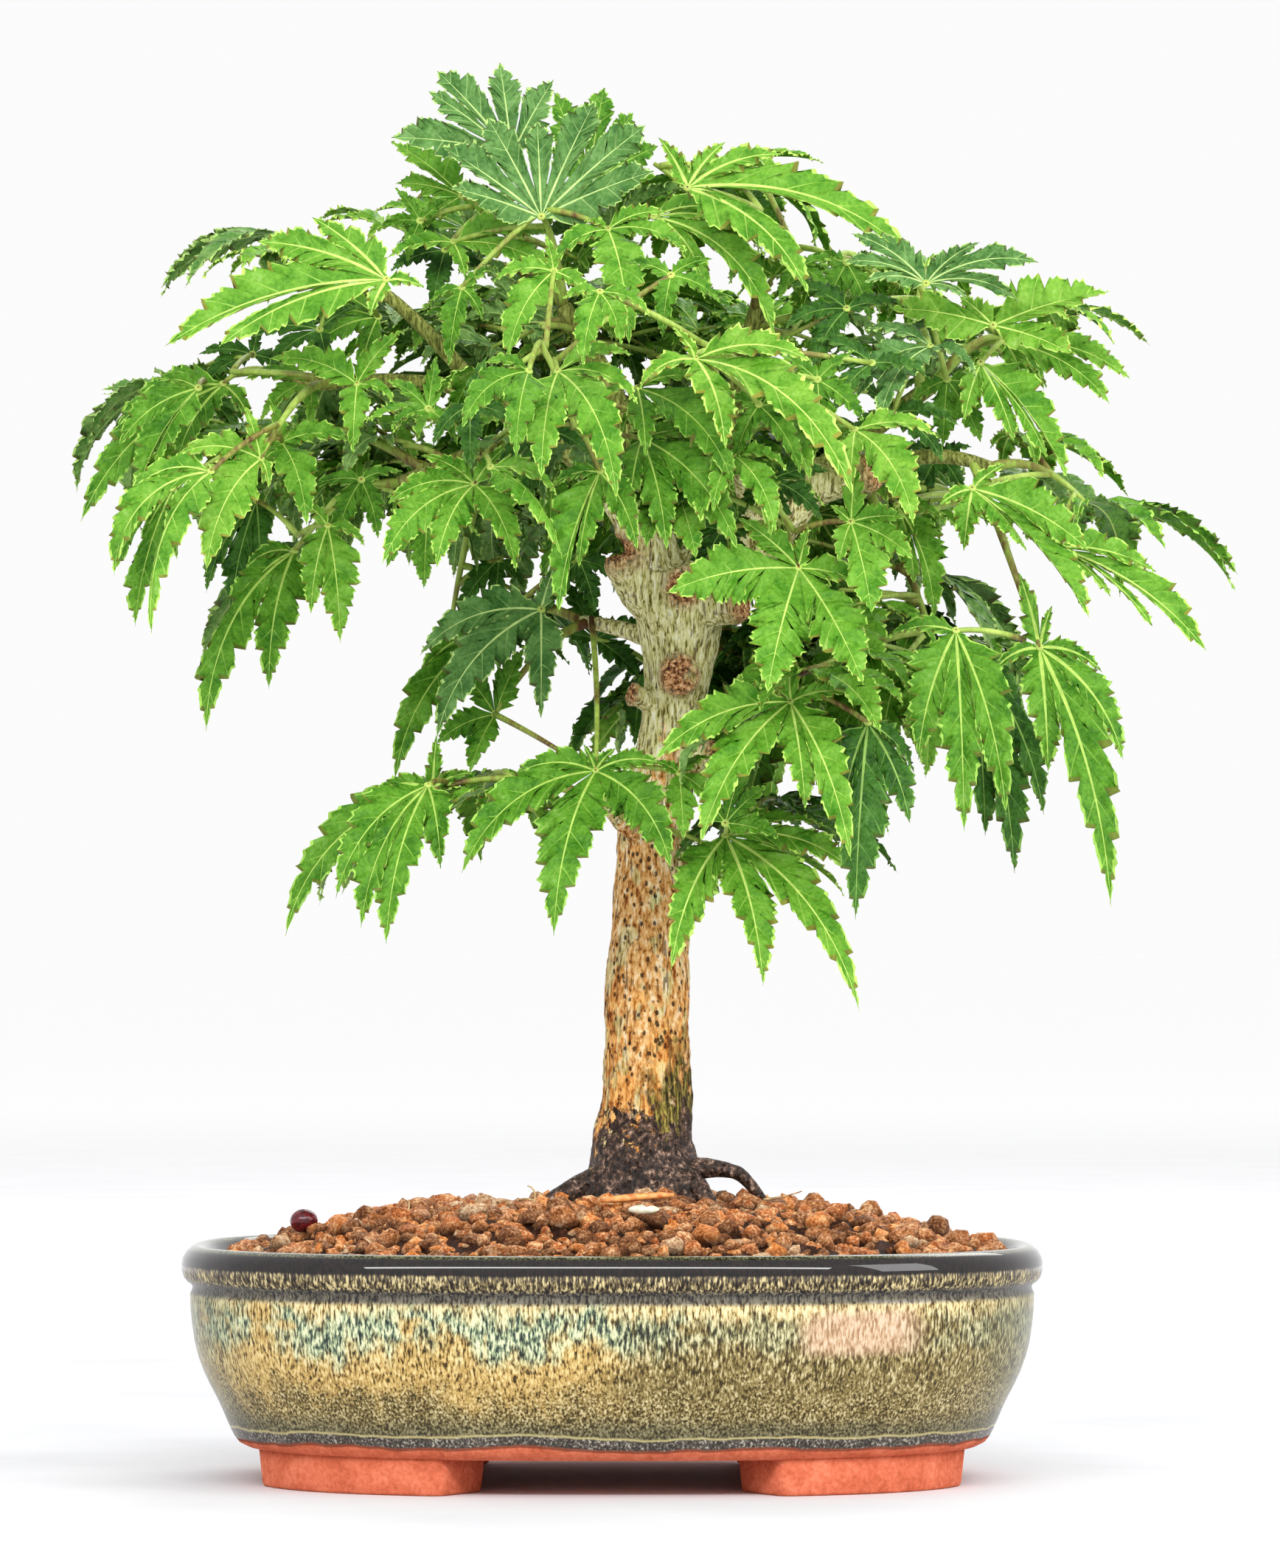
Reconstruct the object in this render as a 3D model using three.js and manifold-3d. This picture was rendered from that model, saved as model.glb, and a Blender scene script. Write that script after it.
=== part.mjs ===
// A japanese maple bonsai of the lion's-head kind in its oval glazed pot.
// Millimetres, +Z up. The front is towards -Y. The pot's middle is (0, 0, 0) while the
// pieces are made, and the last lines put the middle of the whole part's foot there.
import * as THREE from 'three';
import { mergeVertices } from 'three/addons/utils/BufferGeometryUtils.js';
import Module from 'manifold-3d';

const wasm = await Module();
wasm.setup();

// Clearance between neighbouring pieces
const GAP = 0.3;

// Pot: an oval bowl on four feet
const POT_WIDTH = 205;
const POT_DEPTH = 154;
const POT_SQUARENESS = 2.6;
const POT_SIDES = 36;
const FOOT_HEIGHT = 8;
const FOOT_OUTER = 0.845;
const FOOT_INNER = 0.62;
const FOOT_FROM = 17;
const FOOT_TO = 58;
const FOOT_TAPER = 0.97;
const FOOT_SUNK = 1;
const LIP_HEIGHT = 56;
const INNER_FLOOR = 15;
const INNER_FLOOR_HALF_WIDTH = 72;

// Soil: a mound that is level round the foot of the trunk
const GROUND = 64;
const SOIL_EDGE = 52.5;
const MOUND_LEVEL = 34;
const MOUND_FALL = 0.35;
const WALL_FALL = 0.7;
const WALL_FALL_FROM = 0.5;
const SOIL_CLEARANCE = 0.48;
const SOIL_RINGS = [0.985, 0.87, 0.74, 0.6, 0.44];

// Clods: low rounded lumps in the soil, spread as the seeds of a sunflower are, with none
// under the foot of the trunk
const CLODS = 72;
const CLOD_RADIUS = 10;
const CLOD_HEIGHT = 3.2;
const CLODS_FROM = 22;
const CLODS_FULL = 38;
const GOLDEN_ANGLE = Math.PI * (3 - Math.sqrt(5));

// Trunk: height above the feet, sideways place, depth and radius of each ring
const TRUNK_RINGS = [
  [GROUND + GAP, 7.5, 0, 15.5],
  [70, 7.5, 0, 14],
  [79, 7.2, 0, 12],
  [86, 8, 0, 11.2],
  [97, 8.2, 0.3, 10.5],
  [115, 8.3, 0.8, 10.1],
  [132, 9.2, 1.2, 9.3],
  [151, 9.6, 1.6, 8.5],
  [168, 12, 2, 7.8],
  [181, 14.4, 2.2, 7.5],
  [192, 15.8, 2.4, 8.2],
  [201, 16.4, 2.4, 9.8],
  [210, 15.5, 2.4, 11],
  [217, 14, 2.4, 10],
];
const TRUNK_SIDES = 12;
const ROOT_COUNT = 5;
const ROOT_FLARE = 5;
const FLARE_RISE = 5;
const LIMB_SIDES = 6;
const LIMB_RINGS = 3;

// Leaves: lobes of a hand, as angles from the middle one and shares of its length
const LOBES = [
  { angle: -100, length: 0.6 },
  { angle: -50, length: 0.9 },
  { angle: 0, length: 1 },
  { angle: 50, length: 0.9 },
  { angle: 100, length: 0.6 },
];
const LOBE_HALF_WIDTH = 0.175;
const LOBE_WIDEST = 0.48;
const SINUS = 0.2;
const MARGIN_LIFT = 0.05;
const LEAF_THICKNESS = 1.8;
const LOBE_THICKNESS = 1;
const LEAF_DROOP = 75;
const LOBE_STEPS = 6;

// Stems and petioles
const STEM_RADIUS = 1.6;
const STEM_ARCH = 8;
const STEM_RINGS = 4;
const PETIOLE_RADIUS = 0.55;
const PETIOLE_ROOT_RADIUS = 0.9;
const PETIOLE_LENGTH = 17;
const PETIOLE_ARCH = 2;
const TWIG_SIDES = 3;

// Opposite pairs of leaves: where they stand on the stem, their turn from the mass's heading,
// and how far each of their angles and sizes may stray
const FIRST_PAIR_AT = 0.9;
const PAIRS_SHARE = 0.5;
const PAIR_TURN = 70;
const TURN_PER_PAIR = 40;
const TURN_STRAY = 18;
const PAIR_SLOPE_SHARE = 0.4;
const SLOPE_STRAY = 14;
const PETIOLE_PER_PAIR = 0.35;
const PETIOLE_STRAY = 0.2;
const LEAF_RISE = 3;
const RISE_STRAY = 4;
const CROSSED_RISE = 5;
const SIDE_LEAF_SHARE = 0.86;
const SIZE_STRAY = 0.12;

// Room that leaves keep, and the turns that a leaf tries before it is left out
const LEAF_SPACING = 13;
const LEAF_TRIES = [[0, 0], [9, 4], [-9, 4], [18, -6], [-18, -6], [30, 10], [-30, 10]];
const LEAST_OF_LEAF = 0.7;
const FINEST_EDGE = 0.01;
const HAIR = 0.0005;

const colour = (r, g, b) => new THREE.Color().setRGB(r, g, b, THREE.SRGBColorSpace);
const finish = (r, g, b, roughness) =>
  new THREE.MeshStandardMaterial({ color: colour(r, g, b), roughness, metalness: 0 });
const rad = THREE.MathUtils.degToRad;
const at = (x, y, z) => new THREE.Vector3(x, y, z);
const UP = at(0, 0, 1);

// The same small generator of even numbers from 0 to 1 for every mass
function seededRandom(seed) {
  let state = seed;
  return () => {
    state = (state + 0x6d2b79f5) | 0;
    let t = Math.imul(state ^ (state >>> 15), 1 | state);
    t = (t + Math.imul(t ^ (t >>> 7), 61 | t)) ^ t;
    return ((t ^ (t >>> 14)) >>> 0) / 4294967296;
  };
}

// A closed geometry as a solid that can be joined and cut
function solidOf(geometry) {
  const bare = geometry.clone();
  bare.deleteAttribute('normal');
  bare.deleteAttribute('uv');
  const merged = mergeVertices(bare, 1e-4);
  return new wasm.Manifold(new wasm.Mesh({
    numProp: 3,
    vertProperties: new Float32Array(merged.attributes.position.array),
    triVerts: new Uint32Array(merged.index.array),
  }));
}

// Only the largest body of a solid, without the scraps that a cut leaves
function largestBody(solid) {
  const bodies = solid.decompose();
  return bodies.reduce((best, body) => (body.volume() > best.volume() ? body : best));
}

function joinAll(solids) {
  return solids.reduce((whole, solid) => whole.add(solid));
}

function meshOf(name, solid, material) {
  const { vertProperties, triVerts } = solid.getMesh();
  const geometry = new THREE.BufferGeometry();
  geometry.setAttribute('position', new THREE.BufferAttribute(vertProperties, 3));
  geometry.setIndex(new THREE.BufferAttribute(triVerts, 1));
  geometry.computeVertexNormals();
  const mesh = new THREE.Mesh(geometry, material);
  mesh.name = name;
  return mesh;
}

// A round bar of changing radius along a curve, bent from a straight cylinder
function bar(curve, radiusAt, sides, rings) {
  const geometry = new THREE.CylinderGeometry(1, 1, 1, sides, rings);
  const { normals, binormals } = curve.computeFrenetFrames(rings);
  const place = geometry.attributes.position;
  const spot = new THREE.Vector3();
  for (let i = 0; i < place.count; i += 1) {
    spot.fromBufferAttribute(place, i);
    const ring = Math.round((spot.y + 0.5) * rings);
    const radius = radiusAt(ring / rings);
    const point = curve.getPoint(ring / rings);
    point.addScaledVector(normals[ring], spot.x * radius);
    point.addScaledVector(binormals[ring], -spot.z * radius);
    place.setXYZ(i, point.x, point.y, point.z);
  }
  return solidOf(geometry);
}

const limbCurve = ({ path }) => (
  new THREE.QuadraticBezierCurve3(...path.map((point) => at(...point))));

// A tapering limb from one end to the other through a bend, or the same with a clearance
function limbSolid({ path, radii }, extra = 0) {
  const curve = limbCurve({ path });
  curve.v2.addScaledVector(curve.v2.clone().sub(curve.v1).normalize(), extra);
  const radiusAt = (t) => radii[0] + (radii[1] - radii[0]) * t + extra;
  return bar(curve, radiusAt, LIMB_SIDES, LIMB_RINGS);
}

// Distance from the middle to an oval of the given half width, in a direction
function ovalReach(angle, halfWidth) {
  const halfDepth = (halfWidth * POT_DEPTH) / POT_WIDTH;
  const x = Math.abs(Math.cos(angle) / halfWidth) ** POT_SQUARENESS;
  const y = Math.abs(Math.sin(angle) / halfDepth) ** POT_SQUARENESS;
  return (x + y) ** (-1 / POT_SQUARENESS);
}

// A turned profile of [half width, height] points, drawn out to the pot's oval
function ovalTurned(profile) {
  const outline = profile.map(([halfWidth, height]) => new THREE.Vector2(halfWidth, height));
  const geometry = new THREE.LatheGeometry(outline, POT_SIDES);
  geometry.rotateX(Math.PI / 2);
  const place = geometry.attributes.position;
  for (let i = 0; i < place.count; i += 1) {
    const halfWidth = Math.hypot(place.getX(i), place.getY(i));
    if (halfWidth > GAP) {
      const angle = Math.atan2(place.getY(i), place.getX(i));
      const reach = ovalReach(angle, halfWidth);
      place.setXY(i, reach * Math.cos(angle), reach * Math.sin(angle));
    }
  }
  return geometry;
}

function potFoot(middleAngle) {
  const lip = POT_WIDTH / 2;
  const steps = 7;
  const shape = new THREE.Shape();
  const half = rad((FOOT_TO - FOOT_FROM) / 2);
  const mirrored = Math.sin(2 * middleAngle) > 0 ? 1 : -1;
  const arc = (share, from, to) => {
    for (let step = 0; step <= steps; step += 1) {
      const angle = middleAngle + mirrored * (from + ((to - from) * step) / steps);
      const reach = ovalReach(angle, share * lip);
      const x = reach * Math.cos(angle);
      const y = reach * Math.sin(angle);
      if (share === FOOT_OUTER && step === 0) shape.moveTo(x, y);
      else shape.lineTo(x, y);
    }
  };
  arc(FOOT_OUTER, -half, half);
  arc(FOOT_INNER, half, -half);
  shape.closePath();
  const geometry = new THREE.ExtrudeGeometry(shape, {
    depth: FOOT_HEIGHT + FOOT_SUNK,
    bevelEnabled: false,
  });
  geometry.computeBoundingBox();
  const centre = geometry.boundingBox.getCenter(new THREE.Vector3());
  const place = geometry.attributes.position;
  for (let i = 0; i < place.count; i += 1) {
    if (place.getZ(i) < FOOT_SUNK) {
      const x = centre.x + (place.getX(i) - centre.x) * FOOT_TAPER;
      const y = centre.y + (place.getY(i) - centre.y) * FOOT_TAPER;
      place.setXY(i, x, y);
    }
  }
  return solidOf(geometry);
}

// Half widths and heights down the inside, which the soil follows with its clearance
const POT_INSIDE = [
  [95.5, 52],
  [94, 38],
  [90, 24],
  [82, 17],
];

function potSolid() {
  const lip = POT_WIDTH / 2;
  const bowl = solidOf(ovalTurned([
    [0, FOOT_HEIGHT],
    [86, FOOT_HEIGHT],
    [89.7, 9.4],
    [91.4, 13],
    [93.4, 18],
    [97.4, 25.5],
    [99.5, 34],
    [100.2, 45.2],
    [lip - 0.6, 47.4],
    [lip, 51],
    [lip - 0.9, 54.6],
    [lip - 3.2, LIP_HEIGHT],
    [lip - 5.8, LIP_HEIGHT - 0.9],
    ...POT_INSIDE,
    [INNER_FLOOR_HALF_WIDTH, INNER_FLOOR],
    [0, INNER_FLOOR],
  ]));
  const middle = rad((FOOT_FROM + FOOT_TO) / 2);
  const corners = [middle, Math.PI - middle, Math.PI + middle, -middle];
  return joinAll([bowl, ...corners.map(potFoot)]);
}

// How far the clods raise or lower the soil at a place
function clodRise(x, y, edge) {
  let rise = 0;
  for (let k = 0; k < CLODS; k += 1) {
    const angle = k * GOLDEN_ANGLE;
    const reach = ovalReach(angle, edge) * Math.sqrt((k + 0.5) / CLODS);
    const away = Math.hypot(x - reach * Math.cos(angle), y - reach * Math.sin(angle));
    rise = Math.max(rise, 1 - (away / CLOD_RADIUS) ** 2);
  }
  return (rise - 0.5) * CLOD_HEIGHT;
}

// Height of the mound at a place, level round the trunk and falling to the pot's wall
function moundHeight(x, y, edge) {
  const away = Math.hypot(x - TRUNK_RINGS[0][1], y);
  const wall = ovalReach(Math.atan2(y, x), edge);
  const toWall = Math.hypot(x, y) / wall;
  const fall = THREE.MathUtils.smoothstep(away, MOUND_LEVEL, MOUND_LEVEL + wall) * MOUND_FALL
    + THREE.MathUtils.smoothstep(toWall, WALL_FALL_FROM, 1) * WALL_FALL;
  const clods = clodRise(x, y, edge) * THREE.MathUtils.smoothstep(away, CLODS_FROM, CLODS_FULL);
  return Math.min(GROUND, GROUND - (GROUND - SOIL_EDGE) * Math.min(1, fall) + clods);
}

function soilSolid() {
  const inside = POT_INSIDE.map(([halfWidth, height]) => [halfWidth - SOIL_CLEARANCE, height]);
  const edge = inside[0][0];
  const profile = [
    [0, INNER_FLOOR + GAP],
    [INNER_FLOOR_HALF_WIDTH - SOIL_CLEARANCE, INNER_FLOOR + GAP],
    ...inside.reverse().map(([halfWidth, height]) => [halfWidth, height + GAP / 2]),
    ...SOIL_RINGS.map((share) => [edge * share, GROUND]),
    [0, GROUND],
  ];
  const geometry = ovalTurned(profile);
  const place = geometry.attributes.position;
  for (let i = 0; i < place.count; i += 1) {
    if (place.getZ(i) > GROUND - GAP) {
      place.setZ(i, moundHeight(place.getX(i), place.getY(i), edge));
    }
  }
  return solidOf(geometry);
}

// Roots and pruned stubs that are one body with the trunk
const TRUNK_BRANCHINGS = [
  { name: 'arching root', path: [[15, -4, 76], [31, -6, 79], [31, -6, 69]], radii: [3.2, 2] },
  { name: 'arching root foot', path: [[31, -6, 71], [32, -6, 66], [39, -5, 62]], radii: [2.1, 1.3] },
  { name: 'short root', path: [[16, -8, 72], [22, -12, 70], [24, -13, 62]], radii: [3, 2] },
  { name: 'left root', path: [[2, -4, 72], [-8, -8, 70], [-19, -9, 63]], radii: [5, 1.8] },
  { name: 'back root', path: [[6, 6, 72], [4, 14, 70], [-2, 21, 63]], radii: [5, 2] },
  { name: 'left pruned stub', path: [[10, 1, 208], [4, -2, 214], [2.5, -3, 220]], radii: [6, 4.2] },
  { name: 'right pruned stub', path: [[16, 0, 205], [24, -4, 207], [32, -7, 208]], radii: [5.4, 3.4] },
  { name: 'left knob', path: [[12, 0, 183], [8, -3, 186], [4, -4.5, 187]], radii: [3.4, 2.2] },
  { name: 'pruning scar', path: [[15, -2, 191], [16, -6, 191], [16, -8.5, 191]], radii: [5.2, 4.2] },
  { name: 'right knob', path: [[14, 0, 170], [20, -3, 171], [26, -5, 173]], radii: [4.2, 2.6] },
];

function trunkSolid(extra = 0) {
  const rings = TRUNK_RINGS.length - 1;
  const geometry = new THREE.CylinderGeometry(1, 1, 1, TRUNK_SIDES, rings);
  const place = geometry.attributes.position;
  for (let i = 0; i < place.count; i += 1) {
    const [height, x, y, radius] = TRUNK_RINGS[Math.round((place.getY(i) + 0.5) * rings)];
    const angle = Math.atan2(place.getZ(i), place.getX(i));
    const share = Math.hypot(place.getX(i), place.getZ(i));
    const root = (0.5 + 0.5 * Math.cos(ROOT_COUNT * angle + 1)) ** 2;
    const flare = ROOT_FLARE * root * Math.exp((GROUND - height) / FLARE_RISE);
    const reach = share * (radius + flare + extra);
    place.setXYZ(i, x + reach * Math.cos(angle), y - reach * Math.sin(angle), height);
  }
  const parts = TRUNK_BRANCHINGS.map((part) => limbSolid(part, extra));
  const whole = joinAll([solidOf(geometry), ...parts]);
  const below = new THREE.BoxGeometry(POT_WIDTH, POT_DEPTH, GROUND);
  below.translate(0, 0, GROUND / 2 + GAP);
  return largestBody(whole.subtract(solidOf(below)));
}

// Limbs: each starts inside the one that carries it, which then cuts it clear
const LIMBS = [
  { name: 'bough_right', path: [[17, 3, 211], [34, 4, 218], [50, 0, 242]], radii: [7, 5.4] },
  { name: 'bough_left', path: [[11, 1, 212], [4, -8, 242], [-34, -8, 260]], radii: [5, 2.6] },
  { name: 'bough_top', path: [[13, 4, 212], [8, 8, 250], [-12, 2, 280]], radii: [4.6, 2.2] },
  { name: 'bough_back', path: [[14, 6, 211], [8, 30, 222], [0, 52, 250]], radii: [4.6, 2.2] },
  { name: 'bough_upper_right', path: [[18, 5, 212], [26, 20, 244], [36, 12, 284]], radii: [4.4, 2.2] },
  { name: 'pruned_stub_right', path: [[46, 1, 235], [54, -2, 238], [63, -5, 240]], radii: [4.4, 4] },
  { name: 'branch_upper_left', path: [[-32, -8, 259], [-42, -8, 272], [-54, -6, 282]], radii: [2.1, 1.6] },
  { name: 'branch_far_left', path: [[-29, -8, 258], [-52, -2, 264], [-74, -2, 260]], radii: [2.1, 1.6] },
  { name: 'branch_left_low', path: [[-10, -6, 250], [-30, 14, 248], [-52, 16, 238]], radii: [2.4, 1.6] },
  { name: 'branch_front', path: [[0, -4, 240], [-6, -24, 248], [-12, -40, 254]], radii: [2.4, 1.6] },
  { name: 'branch_front_right', path: [[34, 2, 223], [30, -24, 242], [26, -42, 252]], radii: [2.6, 1.6] },
  { name: 'branch_right_up', path: [[49, 0, 240], [62, 4, 250], [78, 2, 262]], radii: [2.8, 2] },
  { name: 'branch_right_out', path: [[61, -4, 240], [76, -12, 246], [90, -14, 240]], radii: [2.2, 1.6] },
  { name: 'branch_right_back', path: [[44, 1, 232], [52, 24, 240], [66, 38, 236]], radii: [2.6, 1.6] },
  { name: 'branch_back_left', path: [[5, 38, 234], [-16, 50, 240], [-38, 50, 240]], radii: [2.2, 1.6] },
  { name: 'branch_back_low', path: [[16, 6, 197], [14, 26, 204], [12, 40, 200]], radii: [2.8, 1.8] },
  { name: 'branch_low_right', path: [[17, -2, 180], [30, -12, 186], [40, -24, 184]], radii: [2.4, 1.6] },
  { name: 'branch_low_left', path: [[8, -3, 152], [0, -12, 156], [-3, -18, 163]], radii: [2.2, 1.5] },
  { name: 'branch_left_inner', path: [[10, 4, 200], [0, 14, 204], [-8, 18, 205]], radii: [2.4, 1.6] },
];

// Masses: the limb each stands on and where along it, the end of its stem where the last
// leaf sits, that leaf's heading in plan, slope, length and droop, and its pairs behind that
const MASSES = [
  {
    name: 'crown_top', on: 'bough_top', share: 0.99, end: [-17, -14, 302.5],
    heading: -95, slope: 64, leaf: 40, droop: 20, pairs: 2,
  },
  {
    name: 'crown_top_left', on: 'bough_top', share: 0.93, end: [-34, 10, 306],
    heading: 120, slope: 62, leaf: 36, droop: 30, pairs: 2,
  },
  {
    name: 'crown_top_right', on: 'bough_upper_right', share: 0.99, end: [10, 2, 314],
    heading: 110, slope: 30, leaf: 38, droop: 45, pairs: 2,
  },
  {
    name: 'upper_right', on: 'bough_upper_right', share: 0.92, end: [36, -12, 310],
    heading: -10, slope: 8, leaf: 50, pairs: 2,
  },
  {
    name: 'upper_left', on: 'branch_upper_left', share: 0.99, end: [-70, -14, 292],
    heading: 188, slope: 4, leaf: 48, droop: 62, pairs: 2,
  },
  {
    name: 'far_left', on: 'branch_far_left', share: 0.99, end: [-100, -2, 260],
    heading: 188, slope: -12, leaf: 46, pairs: 2,
  },
  {
    name: 'left_front', on: 'branch_far_left', share: 0.84, end: [-80, -38, 246],
    heading: 206, slope: -18, leaf: 52, pairs: 1,
  },
  {
    name: 'left_droop', on: 'branch_left_low', share: 0.99, end: [-78, 6, 222],
    heading: 205, slope: -32, leaf: 50, pairs: 2,
  },
  {
    name: 'left_back', on: 'branch_left_low', share: 0.84, end: [-80, 30, 252],
    heading: 160, slope: -5, leaf: 46, pairs: 1,
  },
  {
    name: 'centre_front', on: 'branch_front', share: 0.99, end: [-17, -64, 266],
    heading: -80, slope: 0, leaf: 42, pairs: 2,
  },
  {
    name: 'centre_front_low', on: 'branch_front', share: 0.86, end: [-32, -54, 238],
    heading: -115, slope: -8, leaf: 44, pairs: 2,
  },
  {
    name: 'front_right', on: 'branch_front_right', share: 0.99, end: [20, -66, 266],
    heading: -60, slope: 4, leaf: 46, pairs: 2,
  },
  {
    name: 'front_right_low', on: 'branch_front_right', share: 0.84, end: [44, -60, 218],
    heading: -80, slope: 0, leaf: 42, pairs: 1,
  },
  {
    name: 'right_upper_far', on: 'branch_right_up', share: 0.99, end: [100, 0, 274],
    heading: 5, slope: 12, leaf: 36, droop: 50, pairs: 2,
  },
  {
    name: 'right_upper_front', on: 'branch_right_up', share: 0.86, end: [72, -24, 286],
    heading: -20, slope: 6, leaf: 42, pairs: 2,
  },
  {
    name: 'right_lower_far', on: 'branch_right_out', share: 0.99, end: [112, -14, 232],
    heading: -12, slope: -4, leaf: 46, pairs: 2,
  },
  {
    name: 'right_hanging', on: 'branch_right_out', share: 0.84, end: [98, -36, 192],
    heading: -75, slope: -66, leaf: 60, droop: 24, pairs: 1,
  },
  {
    name: 'right_back', on: 'branch_right_back', share: 0.99, end: [92, 46, 232],
    heading: 25, slope: -8, leaf: 48, pairs: 2,
  },
  {
    name: 'right_back_low', on: 'branch_right_back', share: 0.86, end: [80, 16, 192],
    heading: -5, slope: -40, leaf: 52, droop: 50, pairs: 2,
  },
  {
    name: 'low_right_front', on: 'branch_low_right', share: 0.99, end: [43, -48, 186],
    heading: -80, slope: -4, leaf: 44, pairs: 1,
  },
  {
    name: 'low_right_hanging', on: 'branch_low_right', share: 0.78, end: [25, -34, 152],
    heading: -30, slope: -24, leaf: 54, droop: 56, pairs: 1,
  },
  {
    name: 'low_left_front', on: 'branch_low_left', share: 0.99, end: [-5, -38, 168],
    heading: -105, slope: -8, leaf: 46, pairs: 1,
  },
  {
    name: 'low_left_far', on: 'branch_low_left', share: 0.8, end: [-43, -22, 164],
    heading: 188, slope: -20, leaf: 52, pairs: 1,
  },
  {
    name: 'left_inner', on: 'branch_left_inner', share: 0.99, end: [-32, 22, 204],
    heading: 195, slope: -14, leaf: 44, pairs: 1,
  },
  {
    name: 'left_inner_low', on: 'branch_left_inner', share: 0.84, end: [-28, 6, 184],
    heading: 190, slope: -14, leaf: 42, pairs: 1,
  },
  {
    name: 'back_left', on: 'branch_back_left', share: 0.99, end: [-54, 72, 244],
    heading: 140, slope: -6, leaf: 48, pairs: 2,
  },
  {
    name: 'back_left_low', on: 'branch_back_left', share: 0.86, end: [-40, 58, 206],
    heading: 155, slope: -20, leaf: 48, pairs: 1,
  },
  {
    name: 'back_top', on: 'bough_back', share: 0.99, end: [-10, 58, 284],
    heading: 105, slope: 10, leaf: 46, pairs: 2,
  },
  {
    name: 'back_centre', on: 'bough_back', share: 0.9, end: [26, 70, 252],
    heading: 75, slope: -4, leaf: 48, pairs: 2,
  },
  {
    name: 'back_low', on: 'branch_back_low', share: 0.99, end: [8, 62, 192],
    heading: 100, slope: -16, leaf: 48, pairs: 1,
  },
  {
    name: 'back_low_right', on: 'branch_back_low', share: 0.84, end: [46, 48, 190],
    heading: 45, slope: -18, leaf: 48, pairs: 1,
  },
];

// One lobe's middle line: it sets out in its own direction and bends down as it goes
function lobeLine(centre, direction, length, droop) {
  const down = UP.clone().multiplyScalar(-1);
  down.addScaledVector(direction, -down.dot(direction));
  const sag = down.length();
  if (sag > 0) down.divideScalar(sag);
  const steps = LOBE_STEPS;
  const line = [centre.clone()];
  for (let step = 0; step < steps; step += 1) {
    const bend = rad(droop) * sag * ((step + 0.5) / steps);
    const next = line[step].clone();
    next.addScaledVector(direction, (Math.cos(bend) * length) / steps);
    next.addScaledVector(down, (Math.sin(bend) * length) / steps);
    line.push(next);
  }
  return (share) => line[Math.round(share * steps)];
}

// A leaf as one thin closed body: a rim round its lobes, and a ridge above and below
function leafSolid({ centre, heading, slope, length, droop }, extra = 0) {
  const ahead = at(Math.cos(rad(heading)), Math.sin(rad(heading)), 0);
  ahead.multiplyScalar(Math.cos(rad(slope))).setZ(Math.sin(rad(slope)));
  const aside = UP.clone().cross(ahead).normalize();
  const above = ahead.clone().cross(aside).normalize();
  const spots = [];
  const put = (point, lift = 0) => spots.push(point.clone().addScaledVector(above, lift)) - 1;
  const thick = LEAF_THICKNESS / 2 + extra;
  const thin = LOBE_THICKNESS / 2 + extra;
  const top = put(centre, thick);
  const bottom = put(centre, -thick);
  const toward = (angle) => ahead.clone().multiplyScalar(Math.cos(rad(angle)))
    .addScaledVector(aside, Math.sin(rad(angle)));
  const sinusAt = (angle, share) => put(
    centre.clone().addScaledVector(toward(angle), length * share + extra),
  );
  const sinuses = LOBES.map(({ angle }, k) => (k === 0
    ? sinusAt(180, SINUS * 0.5)
    : sinusAt((angle + LOBES[k - 1].angle) / 2, SINUS)));
  const faces = [];
  LOBES.forEach(({ angle, length: share }, k) => {
    const reach = length * share + extra;
    const direction = toward(angle);
    const across = above.clone().cross(direction).normalize();
    const half = length * share * LOBE_HALF_WIDTH + extra;
    const lineAt = lobeLine(centre, direction, reach, droop);
    const middle = lineAt(LOBE_WIDEST);
    const lifted = length * MARGIN_LIFT;
    const ridge = put(middle, thin);
    const keel = put(middle, -thin);
    const near = put(middle.clone().addScaledVector(across, -half), lifted);
    const far = put(middle.clone().addScaledVector(across, half), lifted);
    const tip = put(lineAt(1));
    const from = sinuses[k];
    const to = sinuses[(k + 1) % LOBES.length];
    const side = (hub, rib) => [
      [hub, from, near], [hub, near, rib], [near, tip, rib],
      [rib, tip, far], [hub, rib, far], [hub, far, to],
    ];
    faces.push(...side(top, ridge));
    faces.push(...side(bottom, keel).map(([a, b, c]) => [a, c, b]));
  });
  const geometry = new THREE.BufferGeometry().setFromPoints(spots);
  geometry.setIndex(faces.flat());
  return solidOf(geometry);
}

// A thin three-sided petiole that rises a little between its ends
function petioleSolid(from, to) {
  const bend = from.clone().lerp(to, 0.5).addScaledVector(UP, PETIOLE_ARCH);
  const curve = new THREE.QuadraticBezierCurve3(from, bend, to);
  const radiusAt = (t) => PETIOLE_ROOT_RADIUS + (PETIOLE_RADIUS - PETIOLE_ROOT_RADIUS) * t;
  return bar(curve, radiusAt, TWIG_SIDES, 2);
}

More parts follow.
